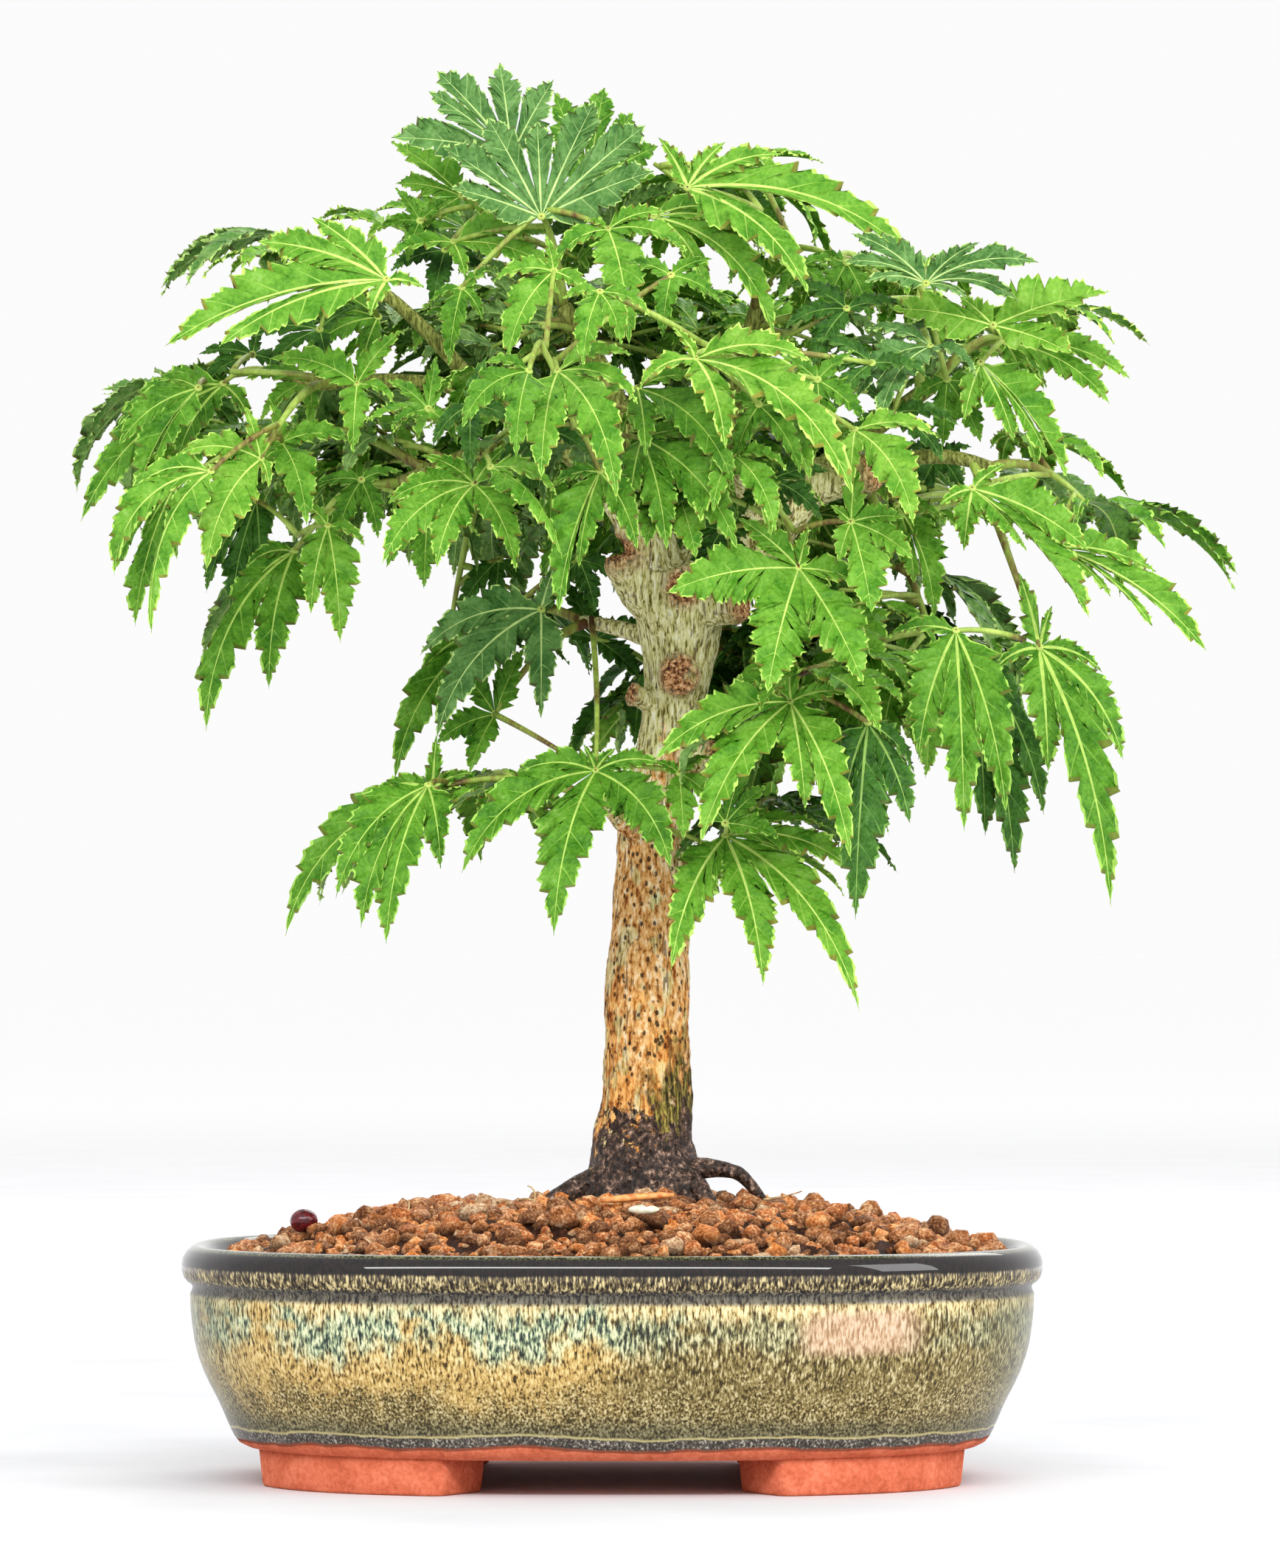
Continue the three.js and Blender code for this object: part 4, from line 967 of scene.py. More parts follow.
# %% The sprays and the rule's sizes
SPRAYS = [
    # name, limb, share along it, end, heading, slope, leaf, droop, pairs
    ("crown_top", "bough_top", 0.99, (-17, -14, 302.5), -95, 64, 40, 20, 2),
    ("crown_top_left", "bough_top", 0.93, (-34, 10, 306), 120, 62, 36, 30, 2),
    ("crown_top_right", "bough_upper_right", 0.99, (10, 2, 314), 110, 30, 38, 45, 2),
    ("upper_right", "bough_upper_right", 0.92, (36, -12, 310), -10, 8, 50, 75, 2),
    ("upper_left", "branch_upper_left", 0.99, (-70, -14, 292), 188, 4, 48, 62, 2),
    ("far_left", "branch_far_left", 0.99, (-100, -2, 260), 188, -12, 46, 75, 2),
    ("left_front", "branch_far_left", 0.84, (-80, -38, 246), 206, -18, 52, 75, 1),
    ("left_droop", "branch_left_low", 0.99, (-78, 6, 222), 205, -32, 50, 75, 2),
    ("left_back", "branch_left_low", 0.84, (-80, 30, 252), 160, -5, 46, 75, 1),
    ("centre_front", "branch_front", 0.99, (-17, -64, 266), -80, 0, 42, 75, 2),
    ("centre_front_low", "branch_front", 0.86, (-32, -54, 238), -115, -8, 44, 75, 2),
    ("front_right", "branch_front_right", 0.99, (20, -66, 266), -60, 4, 46, 75, 2),
    ("front_right_low", "branch_front_right", 0.84, (44, -60, 218), -80, 0, 42, 75, 1),
    ("right_upper_far", "branch_right_up", 0.99, (100, 0, 274), 5, 12, 36, 50, 2),
    ("right_upper_front", "branch_right_up", 0.86, (72, -24, 286), -20, 6, 42, 75, 2),
    ("right_lower_far", "branch_right_out", 0.99, (112, -14, 232), -12, -4, 46, 75, 2),
    ("right_hanging", "branch_right_out", 0.84, (98, -36, 192), -75, -66, 60, 24, 1),
    ("right_back", "branch_right_back", 0.99, (92, 46, 232), 25, -8, 48, 75, 2),
    ("right_back_low", "branch_right_back", 0.86, (80, 16, 192), -5, -40, 52, 50, 2),
    ("low_right_front", "branch_low_right", 0.99, (43, -48, 186), -80, -4, 44, 75, 1),
    ("low_right_hanging", "branch_low_right", 0.78, (25, -34, 152), -30, -24, 54, 56, 1),
    ("low_left_front", "branch_low_left", 0.99, (-5, -38, 168), -105, -8, 46, 75, 1),
    ("low_left_far", "branch_low_left", 0.8, (-43, -22, 164), 188, -20, 52, 75, 1),
    ("left_inner", "branch_left_inner", 0.99, (-32, 22, 204), 195, -14, 44, 75, 1),
    ("left_inner_low", "branch_left_inner", 0.84, (-28, 6, 184), 190, -14, 42, 75, 1),
    ("back_left", "branch_back_left", 0.99, (-54, 72, 244), 140, -6, 48, 75, 2),
    ("back_left_low", "branch_back_left", 0.86, (-40, 58, 206), 155, -20, 48, 75, 1),
    ("back_top", "bough_back", 0.99, (-10, 58, 284), 105, 10, 46, 75, 2),
    ("back_centre", "bough_back", 0.9, (26, 70, 252), 75, -4, 48, 75, 2),
    ("back_low", "branch_back_low", 0.99, (8, 62, 192), 100, -16, 48, 75, 1),
    ("back_low_right", "branch_back_low", 0.84, (46, 48, 190), 45, -18, 48, 75, 1),
]
STEM_ARCH, LEAF_DROOP = 8, 75
FIRST_PAIR_AT, PAIRS_SHARE = 0.9, 0.5
PAIR_TURN, TURN_PER_PAIR, TURN_STRAY = 70, 40, 18
PAIR_SLOPE_SHARE, SLOPE_STRAY = 0.4, 14
PETIOLE_LENGTH, PETIOLE_PER_PAIR, PETIOLE_STRAY = 17, 0.35, 0.2
LEAF_RISE, RISE_STRAY, CROSSED_RISE = 3, 4, 5
SIDE_LEAF_SHARE, SIZE_STRAY = 0.86, 0.12
WORD = 0xFFFFFFFF


def seeded_random(seed):
    """The small generator of even numbers that the solids grew by."""
    state = seed

    def draw():
        nonlocal state
        state = (state + 0x6D2B79F5) & WORD
        t = ((state ^ (state >> 15)) * (1 | state)) & WORD
        t = ((t + (((t ^ (t >> 7)) * (61 | t)) & WORD)) & WORD) ^ t
        return (t ^ (t >> 14)) / (WORD + 1)
    return draw


def heading_of(degrees):
    return Vector((math.cos(math.radians(degrees)), math.sin(math.radians(degrees)), 0))


def upward(height):
    return Vector((0, 0, height))


# %% Grow the large leaves by the solids' rule
def grow_spray(index, name, limb, share, end, heading, slope, leaf, droop, pairs):
    """Returns the stem's curve and its leaves, the end one first."""
    start = curve_point(*(Vector(point) for point in LIMBS[limb][:3]), share)
    end = Vector(end)
    middle = (start + end) / 2 + upward(STEM_ARCH)
    draw = seeded_random(index + 1)

    def spread(amount):
        return (draw() - 0.5) * 2 * amount

    own = dict(spray=index, large=True)
    leaves = [dict(node=None, centre=end, heading=heading, slope=slope, length=leaf, droop=droop, **own)]
    for pair in range(pairs):
        at = FIRST_PAIR_AT - PAIRS_SHARE * pair / pairs
        node = curve_point(start, middle, end, at)
        for side in (-1, 1):
            turn = heading + side * (PAIR_TURN + TURN_PER_PAIR * pair) + spread(TURN_STRAY)
            tilt = slope * PAIR_SLOPE_SHARE + spread(SLOPE_STRAY)
            away = PETIOLE_LENGTH * (1 + PETIOLE_PER_PAIR * pair + spread(PETIOLE_STRAY))
            rise = LEAF_RISE + spread(RISE_STRAY) + (CROSSED_RISE * side if pair % 2 else 0)
            centre = node + heading_of(turn) * away + upward(rise)
            length = leaf * SIDE_LEAF_SHARE * (1 + spread(SIZE_STRAY))
            leaves.append(dict(node=node, centre=centre, heading=turn, slope=tilt, length=length,
                               droop=LEAF_DROOP, **own))
    return (start, middle, end), leaves


grown = [grow_spray(index, *spray) for index, spray in enumerate(SPRAYS)]
stems = [curve for curve, _ in grown]
leaves = [leaf for _, large in grown for leaf in large]
print(len(stems), "stems with", len(leaves), "large leaves")

# %% Leave the sky open
SKY_SHARE = 0.86
SKY = [
    # x, z and radius of each patch of sky, seen from the front
    (-74, 173, 17), (130, 243, 14), (136, 183, 16), (-62, 189, 12), (126, 197, 10), (109, 151, 8),
    (109, 165, 7), (77, 163, 7), (-44, 139, 7), (-11, 185, 7), (-61, 215, 6), (52, 299, 5),
    (-25, 174, 5), (-98, 299, 11), (-26, 146, 9), (-12, 180, 6), (118, 247, 9), (93, 214, 5),
    (62, 301, 4), (80, 136, 14), (-57, 224, 4), (134, 274, 12), (100, 230, 4), (84, 217, 7),
    (69, 212, 5), (95, 206, 4), (56, 182, 3), (-23, 219, 4), (-44, 203, 5), (35, 300, 5),
    (90, 284, 4), (-60, 231, 4), (-77, 203, 4), (-74, 256, 3), (-83, 233, 3), (61, 145, 5),
    (81, 169, 4), (150, 210, 8), (40, 322, 10),
]
TRUNK_IN_VIEW = [(9, 213, 8), (16, 203, 9), (17, 191, 9), (14, 178, 8), (13, 146, 9), (13, 132, 9)]
BOX_LOW, BOX_HIGH = (TO_FRAME.inverted() @ corner for corner in cad_box)
ROUGH_TURNS = (-82, -41, 0, 41, 82)
ROUGH_LINE = ((0.35, 0.1), (0.66, 0.28), (0.95, 0.52))


def as_seen(point):
    """Where the camera at the front sees a point, on the plane through the pot's middle."""
    depth = 1 + point.y / CAMERA_AWAY
    return (CAMERA_ASIDE + (point.x - CAMERA_ASIDE) / depth,
            CAMERA_HEIGHT + (point.z - CAMERA_HEIGHT) / depth)


def seen_at(x, z, y):
    """The place at a depth that the camera sees at x, z on the middle plane."""
    depth = 1 + y / CAMERA_AWAY
    return Vector((CAMERA_ASIDE + (x - CAMERA_ASIDE) * depth, y,
                   CAMERA_HEIGHT + (z - CAMERA_HEIGHT) * depth))


def rough_places(leaf):
    """The hub of a leaf, and about where the middles and tips of its lobes lie."""
    found = [leaf["centre"]]
    hang = leaf["droop"] / LEAF_DROOP
    rise = math.sin(math.radians(leaf["slope"]))
    for turn in ROUGH_TURNS:
        way = heading_of(leaf["heading"] + turn)
        way.z = rise * math.cos(math.radians(turn))
        length = leaf["length"] * (1 - abs(turn) / 260)
        for share, sink in ROUGH_LINE:
            out = way * share * (1 - 0.3 * hang * share) - upward(sink * hang)
            found.append(leaf["centre"] + out * length)
    return found


print(len(SKY), "patches of sky,", len(TRUNK_IN_VIEW), "of the trunk")

# %% [markdown]
# ## Leaves that the picture shows
# Some eighty leaves face the camera whole, and the tree is known by them. A grower would wire
# each where it should hang. Here the hub and the lobe tips of each were read off the picture.
# The rule's leaf that stands nearest in the same spray takes that pose and keeps its
# depth, and where the spray has none left, its stem gets one more. The others are turned until
# they hide neither these nor the sky.

# %% The leaves that show
HELD = [
    # spray, green, lean to the front, droop, hub, and the tips of the lobes that show; the green is darker
    # for a leaf in shade and lighter for one in the light, as painted shade and light
    ("crown_top", "sheen", 0.1, 12, (-17, 301), (
        (-39, 308), (-41, 318), (-30, 325), (-18, 324), (-4, 329), (8, 323), (10, 312))),
    ("crown_top_left", "sheen", 0, 16, (-24, 316), (
        (-53, 320), (-44, 331), (-42, 336), (-27, 338), (-14, 334))),
    ("crown_top", "leaf", 0.3, 40, (-38, 295), ((-54, 291), (-35, 286), (-15, 297), (-14, 288))),
    ("crown_top", "leaf", 0.35, 60, (-1, 298), ((-14, 289), (4, 270), (13, 302), (-7, 300), (18, 292))),
    ("crown_top_right", "leaf", 0.2, 70, (10, 301), ((39, 270), (37, 291), (31, 300), (22, 281))),
    ("upper_right", "leaf", 0.1, 54, (18, 308), (
        (73, 290), (47, 282), (41, 316), (31, 301), (11, 320), (27, 319))),
    ("upper_left", "leaf", 0.15, 34, (-54, 286), (
        (-107, 270), (-94, 270), (-85, 295), (-72, 301), (-58, 277), (-45, 284))),
    ("far_left", "leaf", 0.3, 60, (-61, 261), ((-82, 267), (-62, 244), (-52, 256), (-50, 274))),
    ("far_left", "forest", 0.1, 50, (-93, 261), ((-127, 228), (-119, 250), (-104, 242), (-86, 250))),
    ("far_left", "forest", 0, 50, (-99, 260), ((-118, 246), (-114, 232), (-110, 239), (-110, 262))),
    ("far_left", "deep", 0, 50, (-86, 268), ((-99, 268), (-98, 260), (-84, 276), (-75, 262))),
    ("left_front", "fresh", 0.4, 62, (-84, 243), ((-97, 216), (-104, 244), (-82, 236), (-88, 256))),
    ("left_front", "leaf", 0.2, 84, (-96, 240), ((-110, 201), (-116, 233), (-119, 215), (-104, 219))),
    ("left_front", "leaf", 0.4, 58, (-79, 247), ((-73, 227), (-62, 247), (-82, 258), (-89, 245))),
    ("left_droop", "forest", 0.2, 70, (-76, 221), ((-97, 178), (-82, 188), (-88, 216), (-90, 200))),
    ("left_droop", "leaf", 0.2, 56, (-68, 227), ((-65, 199), (-72, 206), (-59, 222), (-76, 234))),
    ("left_droop", "deep", 0.1, 50, (-85, 233), ((-91, 206), (-97, 211), (-84, 212))),
    ("centre_front_low", "leaf", 0.4, 56, (-33, 237), (
        (-55, 218), (-42, 217), (-23, 216), (-54, 232), (-46, 244), (-24, 247))),
    ("centre_front_low", "leaf", 0.45, 60, (-29, 241), ((-12, 219), (-13, 234), (-22, 232))),
    ("centre_front", "leaf", 0.4, 66, (-13, 264), ((1, 233), (-17, 238), (6, 256), (5, 268))),
    ("centre_front", "forest", 0.4, 66, (-20, 264), ((-23, 243), (-36, 250), (-31, 266))),
    ("front_right", "fresh", 0.45, 60, (20, 267), ((27, 245), (58, 233), (6, 259), (48, 266), (14, 275))),
    ("front_right", "forest", 0.3, 60, (6, 260), ((29, 236), (8, 243), (22, 262), (-4, 256))),
    ("centre_front_low", "forest", 0.3, 50, (7, 248), ((30, 221), (4, 229), (13, 221), (24, 248))),
    ("front_right_low", "leaf", 0.3, 60, (29, 244), ((39, 225), (24, 230), (42, 240))),
    ("front_right", "fresh", 0.35, 60, (58, 250), ((72, 227), (78, 248), (57, 236))),
    ("front_right_low", "leaf", 0.35, 26, (44.5, 217), (
        (13, 211), (37, 187), (60, 189), (62, 212), (30, 229), (47, 227))),
    ("front_right_low", "leaf", 0.3, 30, (57, 228), (
        (70, 229), (72, 219), (62, 206), (54, 218), (52, 232), (58, 242))),
    ("right_back", "leaf", 0.1, 60, (68, 232), ((77, 205), (72, 213), (64, 214), (79, 228))),
    ("right_upper_front", "sheen", 0.2, 60, (75, 285), (
        (55, 290), (57, 297), (88, 295), (102, 290), (97, 281), (60, 285), (85, 281))),
    ("right_upper_front", "sheen", 0.35, 64, (76, 270), ((64, 252), (58, 257), (87, 262), (60, 274))),
    ("right_upper_far", "fresh", 0.1, 20, (91, 275), ((119, 283), (110, 268), (66, 279), (83, 282))),
    ("right_upper_far", "leaf", 0.15, 46, (94, 271), ((124, 262), (119, 256), (99, 258), (104, 273))),
    ("right_upper_far", "leaf", 0.1, 34, (88, 266), ((96, 247), (109, 238), (104, 243), (84, 252))),
    ("right_lower_far", "leaf", 0.2, 30, (86, 236), (
        (114, 221), (114, 205), (99, 221), (84, 221), (94, 242), (78, 232))),
    ("right_lower_far", "leaf", 0.1, 36, (106, 222), ((142, 197), (129, 203), (119, 210), (130, 216))),
    ("right_hanging", "forest", 0.1, 54, (102, 198), (
        (119, 136), (122, 171), (104, 168), (91, 192), (97, 216), (105, 208), (117, 192))),
    ("right_hanging", "forest", 0.1, 50, (82, 202), ((84, 154), (73, 171), (94, 158), (65, 200))),
    ("right_back_low", "deep", 0.1, 50, (86, 196), ((96, 144), (103, 158), (89, 153), (98, 180))),
    ("low_right_front", "leaf", 0.35, 46, (42.5, 185), (
        (10, 171), (57, 147), (46, 159), (42, 199), (21, 151), (57, 187))),
    ("low_right_front", "deep", 0, 46, (61, 180), ((58, 133), (72, 168), (71, 156), (55, 158))),
    ("low_left_front", "leaf", 0.3, 30, (16, 168), ((10, 171), (24, 172), (25, 160), (17, 152))),
    ("low_right_hanging", "forest", 0.3, 30, (27, 156), ((32, 172), (21, 163), (37, 165), (40, 152))),
    ("low_right_hanging", "leaf", 0.3, 54, (27, 153), (
        (14, 121), (36, 117), (59, 111), (58, 144), (51, 155))),
    ("low_left_front", "forest", 0.3, 62, (-4, 168.5), (
        (-36, 144), (-14, 129), (14, 145), (-24, 167), (12, 170), (1, 174), (-7, 175))),
    ("low_left_far", "forest", 0.1, 68, (-43, 164), ((-78, 129), (-57, 163), (-33, 168), (-42, 177))),
    ("low_left_far", "forest", 0.3, 60, (-44, 165), ((-54, 127), (-41, 145), (-66, 138), (-60, 131))),
    ("left_inner_low", "forest", 0.1, 36, (-28, 182), ((-21, 198), (-38, 194), (-34, 168), (-42, 175))),
    ("left_inner", "sheen", 0.1, 60, (-17, 207), ((-46, 196), (-42, 176), (-17, 181), (-13, 219))),
    ("left_inner", "forest", 0.1, 60, (-30, 202), ((-52, 166), (-46, 190), (-22, 211))),
    ("back_left_low", "deep", 0, 40, (-27, 219), ((-37, 205), (-28, 207), (-21, 212))),
    ("back_low", "deep", 0, 30, (-4, 200), ((-14, 201), (-12, 214), (7, 190), (8, 204))),
    ("centre_front", "forest", 0.2, 50, (-3, 240), ((-8, 217), (6, 221), (-13, 206), (-15, 236))),
    ("centre_front", "leaf", 0.2, 60, (-14, 288), ((-25, 266), (-29, 285), (-5, 279), (-16, 297))),
    ("front_right", "leaf", 0.2, 60, (-3, 283), ((-7, 265), (2, 270), (9, 277), (-12, 281))),
    ("upper_left", "forest", 0.1, 56, (-56, 277), ((-82, 275), (-74, 266), (-60, 262), (-72, 284))),
    ("crown_top", "forest", 0.1, 50, (-36, 284), ((-27, 289), (-44, 280), (-31, 276), (-39, 265))),
    ("crown_top_left", "forest", 0.1, 50, (-46, 300), ((-56, 298), (-52, 308), (-49, 290), (-38, 305))),
    ("centre_front", "forest", 0, 50, (14, 287), ((26, 280), (12, 272), (24, 291), (2, 290))),
    ("right_upper_front", "deep", 0.1, 50, (56, 279), ((41, 274), (48, 264), (42, 285), (71, 279))),
    ("upper_right", "forest", 0.1, 50, (45, 289), ((36, 293), (54, 291), (40, 281), (52, 282))),
    ("front_right", "deep", 0, 50, (62, 266), ((48, 262), (53, 254), (48, 272), (76, 262))),
    ("right_upper_front", "deep", 0, 50, (67, 254), ((83, 251), (79, 242), (56, 246), (58, 262))),
    ("front_right", "forest", 0, 50, (35, 256), ((45, 239), (50, 250), (29, 240), (24, 256))),
    ("front_right", "deep", 0, 50, (18, 236), ((8, 226), (30, 228), (33, 240), (6, 240))),
    ("front_right_low", "deep", -0.3, 50, (38, 238), ((50, 228), (52, 240), (30, 228), (40, 222))),
    ("centre_front_low", "forest", 0.1, 50, (-44, 255), ((-54, 262), (-53, 250), (-37, 246), (-42, 268))),
    ("centre_front", "deep", 0, 50, (-34, 256), ((-43, 246), (-34, 240), (-22, 250), (-30, 268))),
    ("centre_front", "deep", -0.2, 50, (-16, 250), ((-28, 240), (-20, 230), (-5, 243), (-4, 258))),
    ("left_droop", "forest", 0, 50, (-60, 238), ((-72, 236), (-66, 222), (-56, 224), (-50, 240))),
    ("far_left", "leaf", 0.1, 50, (-72, 262), ((-88, 262), (-84, 252), (-72, 250), (-62, 268))),
    ("upper_left", "deep", 0, 50, (-70, 274), ((-88, 272), (-82, 264), (-68, 262), (-60, 280))),
    ("crown_top_left", "forest", 0, 20, (-6, 308), ((-14, 331), (-2, 332), (5, 326), (11, 318), (12, 309))),
    ("crown_top_left", "leaf", 0, 30, (-36, 306), ((-53, 319), (-52, 309), (-46, 298), (-28, 301))),
    ("centre_front_low", "forest", 0.1, 40, (-44, 232), ((-54, 217), (-45, 212), (-38, 222), (-54, 234))),
    ("front_right", "forest", 0, 34, (49, 262), ((38, 254), (50, 246), (60, 252), (40, 268), (58, 269))),
    ("right_upper_front", "forest", 0, 34, (80, 262), ((88, 247), (79, 246), (92, 258), (71, 256))),
    ("upper_right", "forest", 0, 34, (56, 290), ((50, 275), (62, 276), (66, 288), (46, 291))),
    ("front_right_low", "leaf", 0.3, 34, (14, 239), ((8, 222), (20, 219), (1, 230), (27, 232), (15, 254))),
    ("left_inner", "deep", 0, 40, (-8, 219), ((-16, 206), (-4, 206), (3, 213), (-17, 222))),
    ("right_back", "deep", 0, 40, (78, 244), ((72, 230), (84, 234), (86, 246), (68, 246))),
    ("crown_top_left", "deep", 0, 40, (-40, 293), ((-53, 288), (-43, 279), (-52, 300), (-30, 286))),
    ("front_right_low", "deep", -0.4, 34, (26, 226), ((20, 212), (32, 214), (14, 226), (38, 226))),
    ("left_front", "forest", 0, 50, (-105, 236), ((-114, 203), (-119, 216), (-112, 222), (-116, 232))),
]
print(len(HELD), "leaves that show")

# %% Hold them as the picture shows them
NEARER = 0.4
FARTHEST = 26
PITCH = 0.3
NEW_LEAF_AT, TO_THE_FRONT = 0.8, -90
FACE_SHARES, FACE_ROOM = (0.4, 0.75), 5
spray_names = [name for name, *_ in SPRAYS]
for name, green, lean, droop, hub, tips in HELD:
    index = spray_names.index(name)
    free = [leaf for leaf in leaves if leaf["spray"] == index and "tips" not in leaf]

    def cost(leaf):
        """How far a leaf stands from the hub as seen, and from the front."""
        x, z = as_seen(leaf["centre"])
        return math.hypot(x - hub[0], z - hub[1]) + NEARER * leaf["centre"].y

    leaf = min(free, key=cost, default=None)
    if leaf is None or cost(leaf) > FARTHEST:
        node = curve_point(*stems[index], NEW_LEAF_AT)
        leaf = dict(node=node, centre=node, heading=TO_THE_FRONT, slope=0, spray=index, large=True)
        leaves.append(leaf)
    depth = leaf["centre"].y
    leaf["centre"] = seen_at(*hub, depth)
    spans = [math.hypot(x - hub[0], z - hub[1]) for x, z in tips]
    leaf["tips"] = [seen_at(x, z, depth - lean * span + PITCH * (z - hub[1]))
                    for (x, z), span in zip(tips, spans)]
    leaf["face"] = [hub] + [(hub[0] + (x - hub[0]) * share, hub[1] + (z - hub[1]) * share)
                            for x, z in tips for share in FACE_SHARES]
    leaf["droop"], leaf["green"], leaf["length"] = droop, green, max(spans)
    if leaf["node"] is None:
        start, middle, _ = stems[index]
        stems[index] = (start, middle, leaf["centre"])
print(len(leaves), "large leaves with those that a stem had to get")

# %% Turn the others out of the way
TRUNK_DEPTH = 4
BEHIND = 5
TURNS = (0, 30, -30, 60, -60, 95, -95, 140, -140)
CUT_BACK = 0.78
patches = [(x, z, radius * SKY_SHARE, math.inf) for x, z, radius in SKY]
patches += [(x, z, radius * SKY_SHARE, TRUNK_DEPTH) for x, z, radius in TRUNK_IN_VIEW]
patches += [(*spot, FACE_ROOM, leaf["centre"].y + BEHIND) for leaf in leaves if "tips" in leaf
            for spot in leaf["face"]]
patches = np.array(patches)


def stands_in_view(leaf):
    """Whether a leaf would leave the tree's box, or hide open sky, the trunk or a held leaf."""
    places = rough_places(leaf)
    if any(not BOX_LOW[k] < place[k] < BOX_HIGH[k] for place in places for k in range(3)):
        return True
    seen = np.array([as_seen(place) for place in places])[:, None]
    near = patches[leaf["centre"].y < patches[:, 3]]
    away = np.hypot(seen[..., 0] - near[:, 0], seen[..., 1] - near[:, 1])
    return bool((away < near[:, 2]).any())


def turned_clear(leaf):
    """Turns a leaf, and shortens it if it must, until it hides nothing. Says if it can."""
    heading, length = leaf["heading"], leaf["length"]
    for share in (1, CUT_BACK):
        for turn in TURNS:
            leaf["heading"], leaf["length"] = heading + turn, length * share
            if not stands_in_view(leaf):
                return True
    return False


kept = [leaf for leaf in leaves if "tips" in leaf or turned_clear(leaf)]
print(len(leaves) - len(kept), "large leaves left out where the sky shows")
leaves = kept

# %% Fork finer twigs
LEAF_SPACING = 14
TWIG_SHARE = (0.6, 0.8)
TWIG_TURNS = (40, -44)
SMALL_LEAF = (0.66, 0.92)
LEAST_LEAF = 20
SMALL_WAYS, FORK_TURN, FORK_GROWTH = (-1, 1, -0.4, 0.4), (40, 125), 1.05
WIDER_TURN, LARGE_GROWTH = (0.8, 1.6), 0.95
TWIG_LENGTH, TWIG_RISE = (0.8, 1.4), (-9, 8)
HEADING_STRAY, SLOPE_WANDER, DROOP_STRAY = 12, 12, 10
BACK_FROM, DENSER_BEHIND = 25, 0.7
REACH_BEYOND = 9
STEM_NODES = (0.95, 0.82, 0.68, 0.54, 0.4)
LIMB_NODES = (0.96, 0.84, 0.72, 0.6)
fine = np.random.RandomState(23)
twigs = []


def in_reach(spray, centre):
    """Whether a leaf's middle lies in its spray's own space."""
    low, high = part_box(SPRAYS[spray][0])
    place = TO_FRAME @ centre
    return all(low[k] - REACH_BEYOND * MM < place[k] < high[k] + REACH_BEYOND * MM for k in range(3))


def crowded(centre, spacing):
    return any((centre - other["centre"]).length < spacing for other in leaves)


def fork(parent, node, turn, share):
    """A twig from a joint towards one side, that ends in a smaller leaf if there is room."""
    heading = parent["heading"] + turn + fine.normal(0, HEADING_STRAY)
    away = PETIOLE_LENGTH * fine.uniform(*TWIG_LENGTH)
    centre = node + heading_of(heading) * away + upward(fine.uniform(*TWIG_RISE))
    length = parent["length"] * fine.uniform(*SMALL_LEAF) * share
    slope = parent["slope"] + fine.normal(0, SLOPE_WANDER)
    droop = LEAF_DROOP + fine.normal(0, DROOP_STRAY)
    leaf = dict(node=node, centre=centre, heading=heading, slope=slope, droop=droop,
                length=max(LEAST_LEAF, length), spray=parent["spray"], large=False)
    spacing = LEAF_SPACING * (DENSER_BEHIND if centre.y > BACK_FROM else 1)
    if not in_reach(parent["spray"], centre) or crowded(centre, spacing) or stands_in_view(leaf):
        return None
    leaves.append(leaf)
    return leaf


for index, curve in enumerate(stems):
    owner = grown[index][1][0]
    _, limb_name, limb_share, *_ = SPRAYS[index]
    limb = [Vector(point) for point in LIMBS[limb_name][:3]]
    nodes = [curve_point(*curve, at) for at in STEM_NODES]
    nodes += [curve_point(*limb, at * limb_share) for at in LIMB_NODES]
    for node in nodes:
        for way in SMALL_WAYS:
            first = fork(owner, node, way * fine.uniform(*FORK_TURN), FORK_GROWTH)
            if first:
                joint = node.lerp(first["centre"], fine.uniform(*TWIG_SHARE))
                twigs.append((node, joint))
                for side in TWIG_TURNS:
                    fork(first, joint, side, 1)
for parent in [leaf for leaf in leaves if leaf["large"] and leaf["node"]]:
    joint = parent["node"].lerp(parent["centre"], fine.uniform(*TWIG_SHARE))
    for side in TWIG_TURNS:
        fork(parent, joint, side * fine.uniform(*WIDER_TURN), LARGE_GROWTH)
print(len(leaves), "leaves,", len(twigs), "finer twigs")

# %% [markdown]
# ## Leaves
# A leaf of this maple is a hand of five to seven lobes. Each lobe has coarse teeth with finer
# teeth on them, a pale vein into each coarse tooth and a paler rim, and it folds along its
# midrib, crinkles between the veins and hangs over at the tip. A photograph on a card would
# show a straight cut edge, so each lobe is a real strip of faces. A grid is made once per kind
# of lobe, its rows following the side veins, and is then bent for every lobe of every leaf.

# %% Lay out a lobe as a grid
LOBE_SHAPE = [
    (0, 0.6), (0.1, 0.88), (0.2, 1), (0.31, 0.95), (0.44, 0.83), (0.58, 0.68), (0.7, 0.52), (0.8, 0.38),
    (0.9, 0.2), (1, 0),
]
BLADE, VEIN, RIB, RIM, TIP = range(5)
TOOTH = {
    # for each row of a tooth: offset from its vein in teeth, share of the vein's length
    "fine": [(-0.88, 0.58), (-0.72, 0.82), (-0.56, 0.98), (-0.49, 0.89), (-0.29, 1.05), (-0.22, 0.96),
             (-0.012, 1.05), (0.012, 1.05)],
    "plain": [(-0.86, 0.58), (-0.66, 0.85), (-0.44, 1), (-0.36, 0.91), (-0.012, 1.05), (0.012, 1.05)],
}
AT_VEIN = 0.02
FORWARD = 0.3
DEEPER = 0.2
HOOK = 0.06
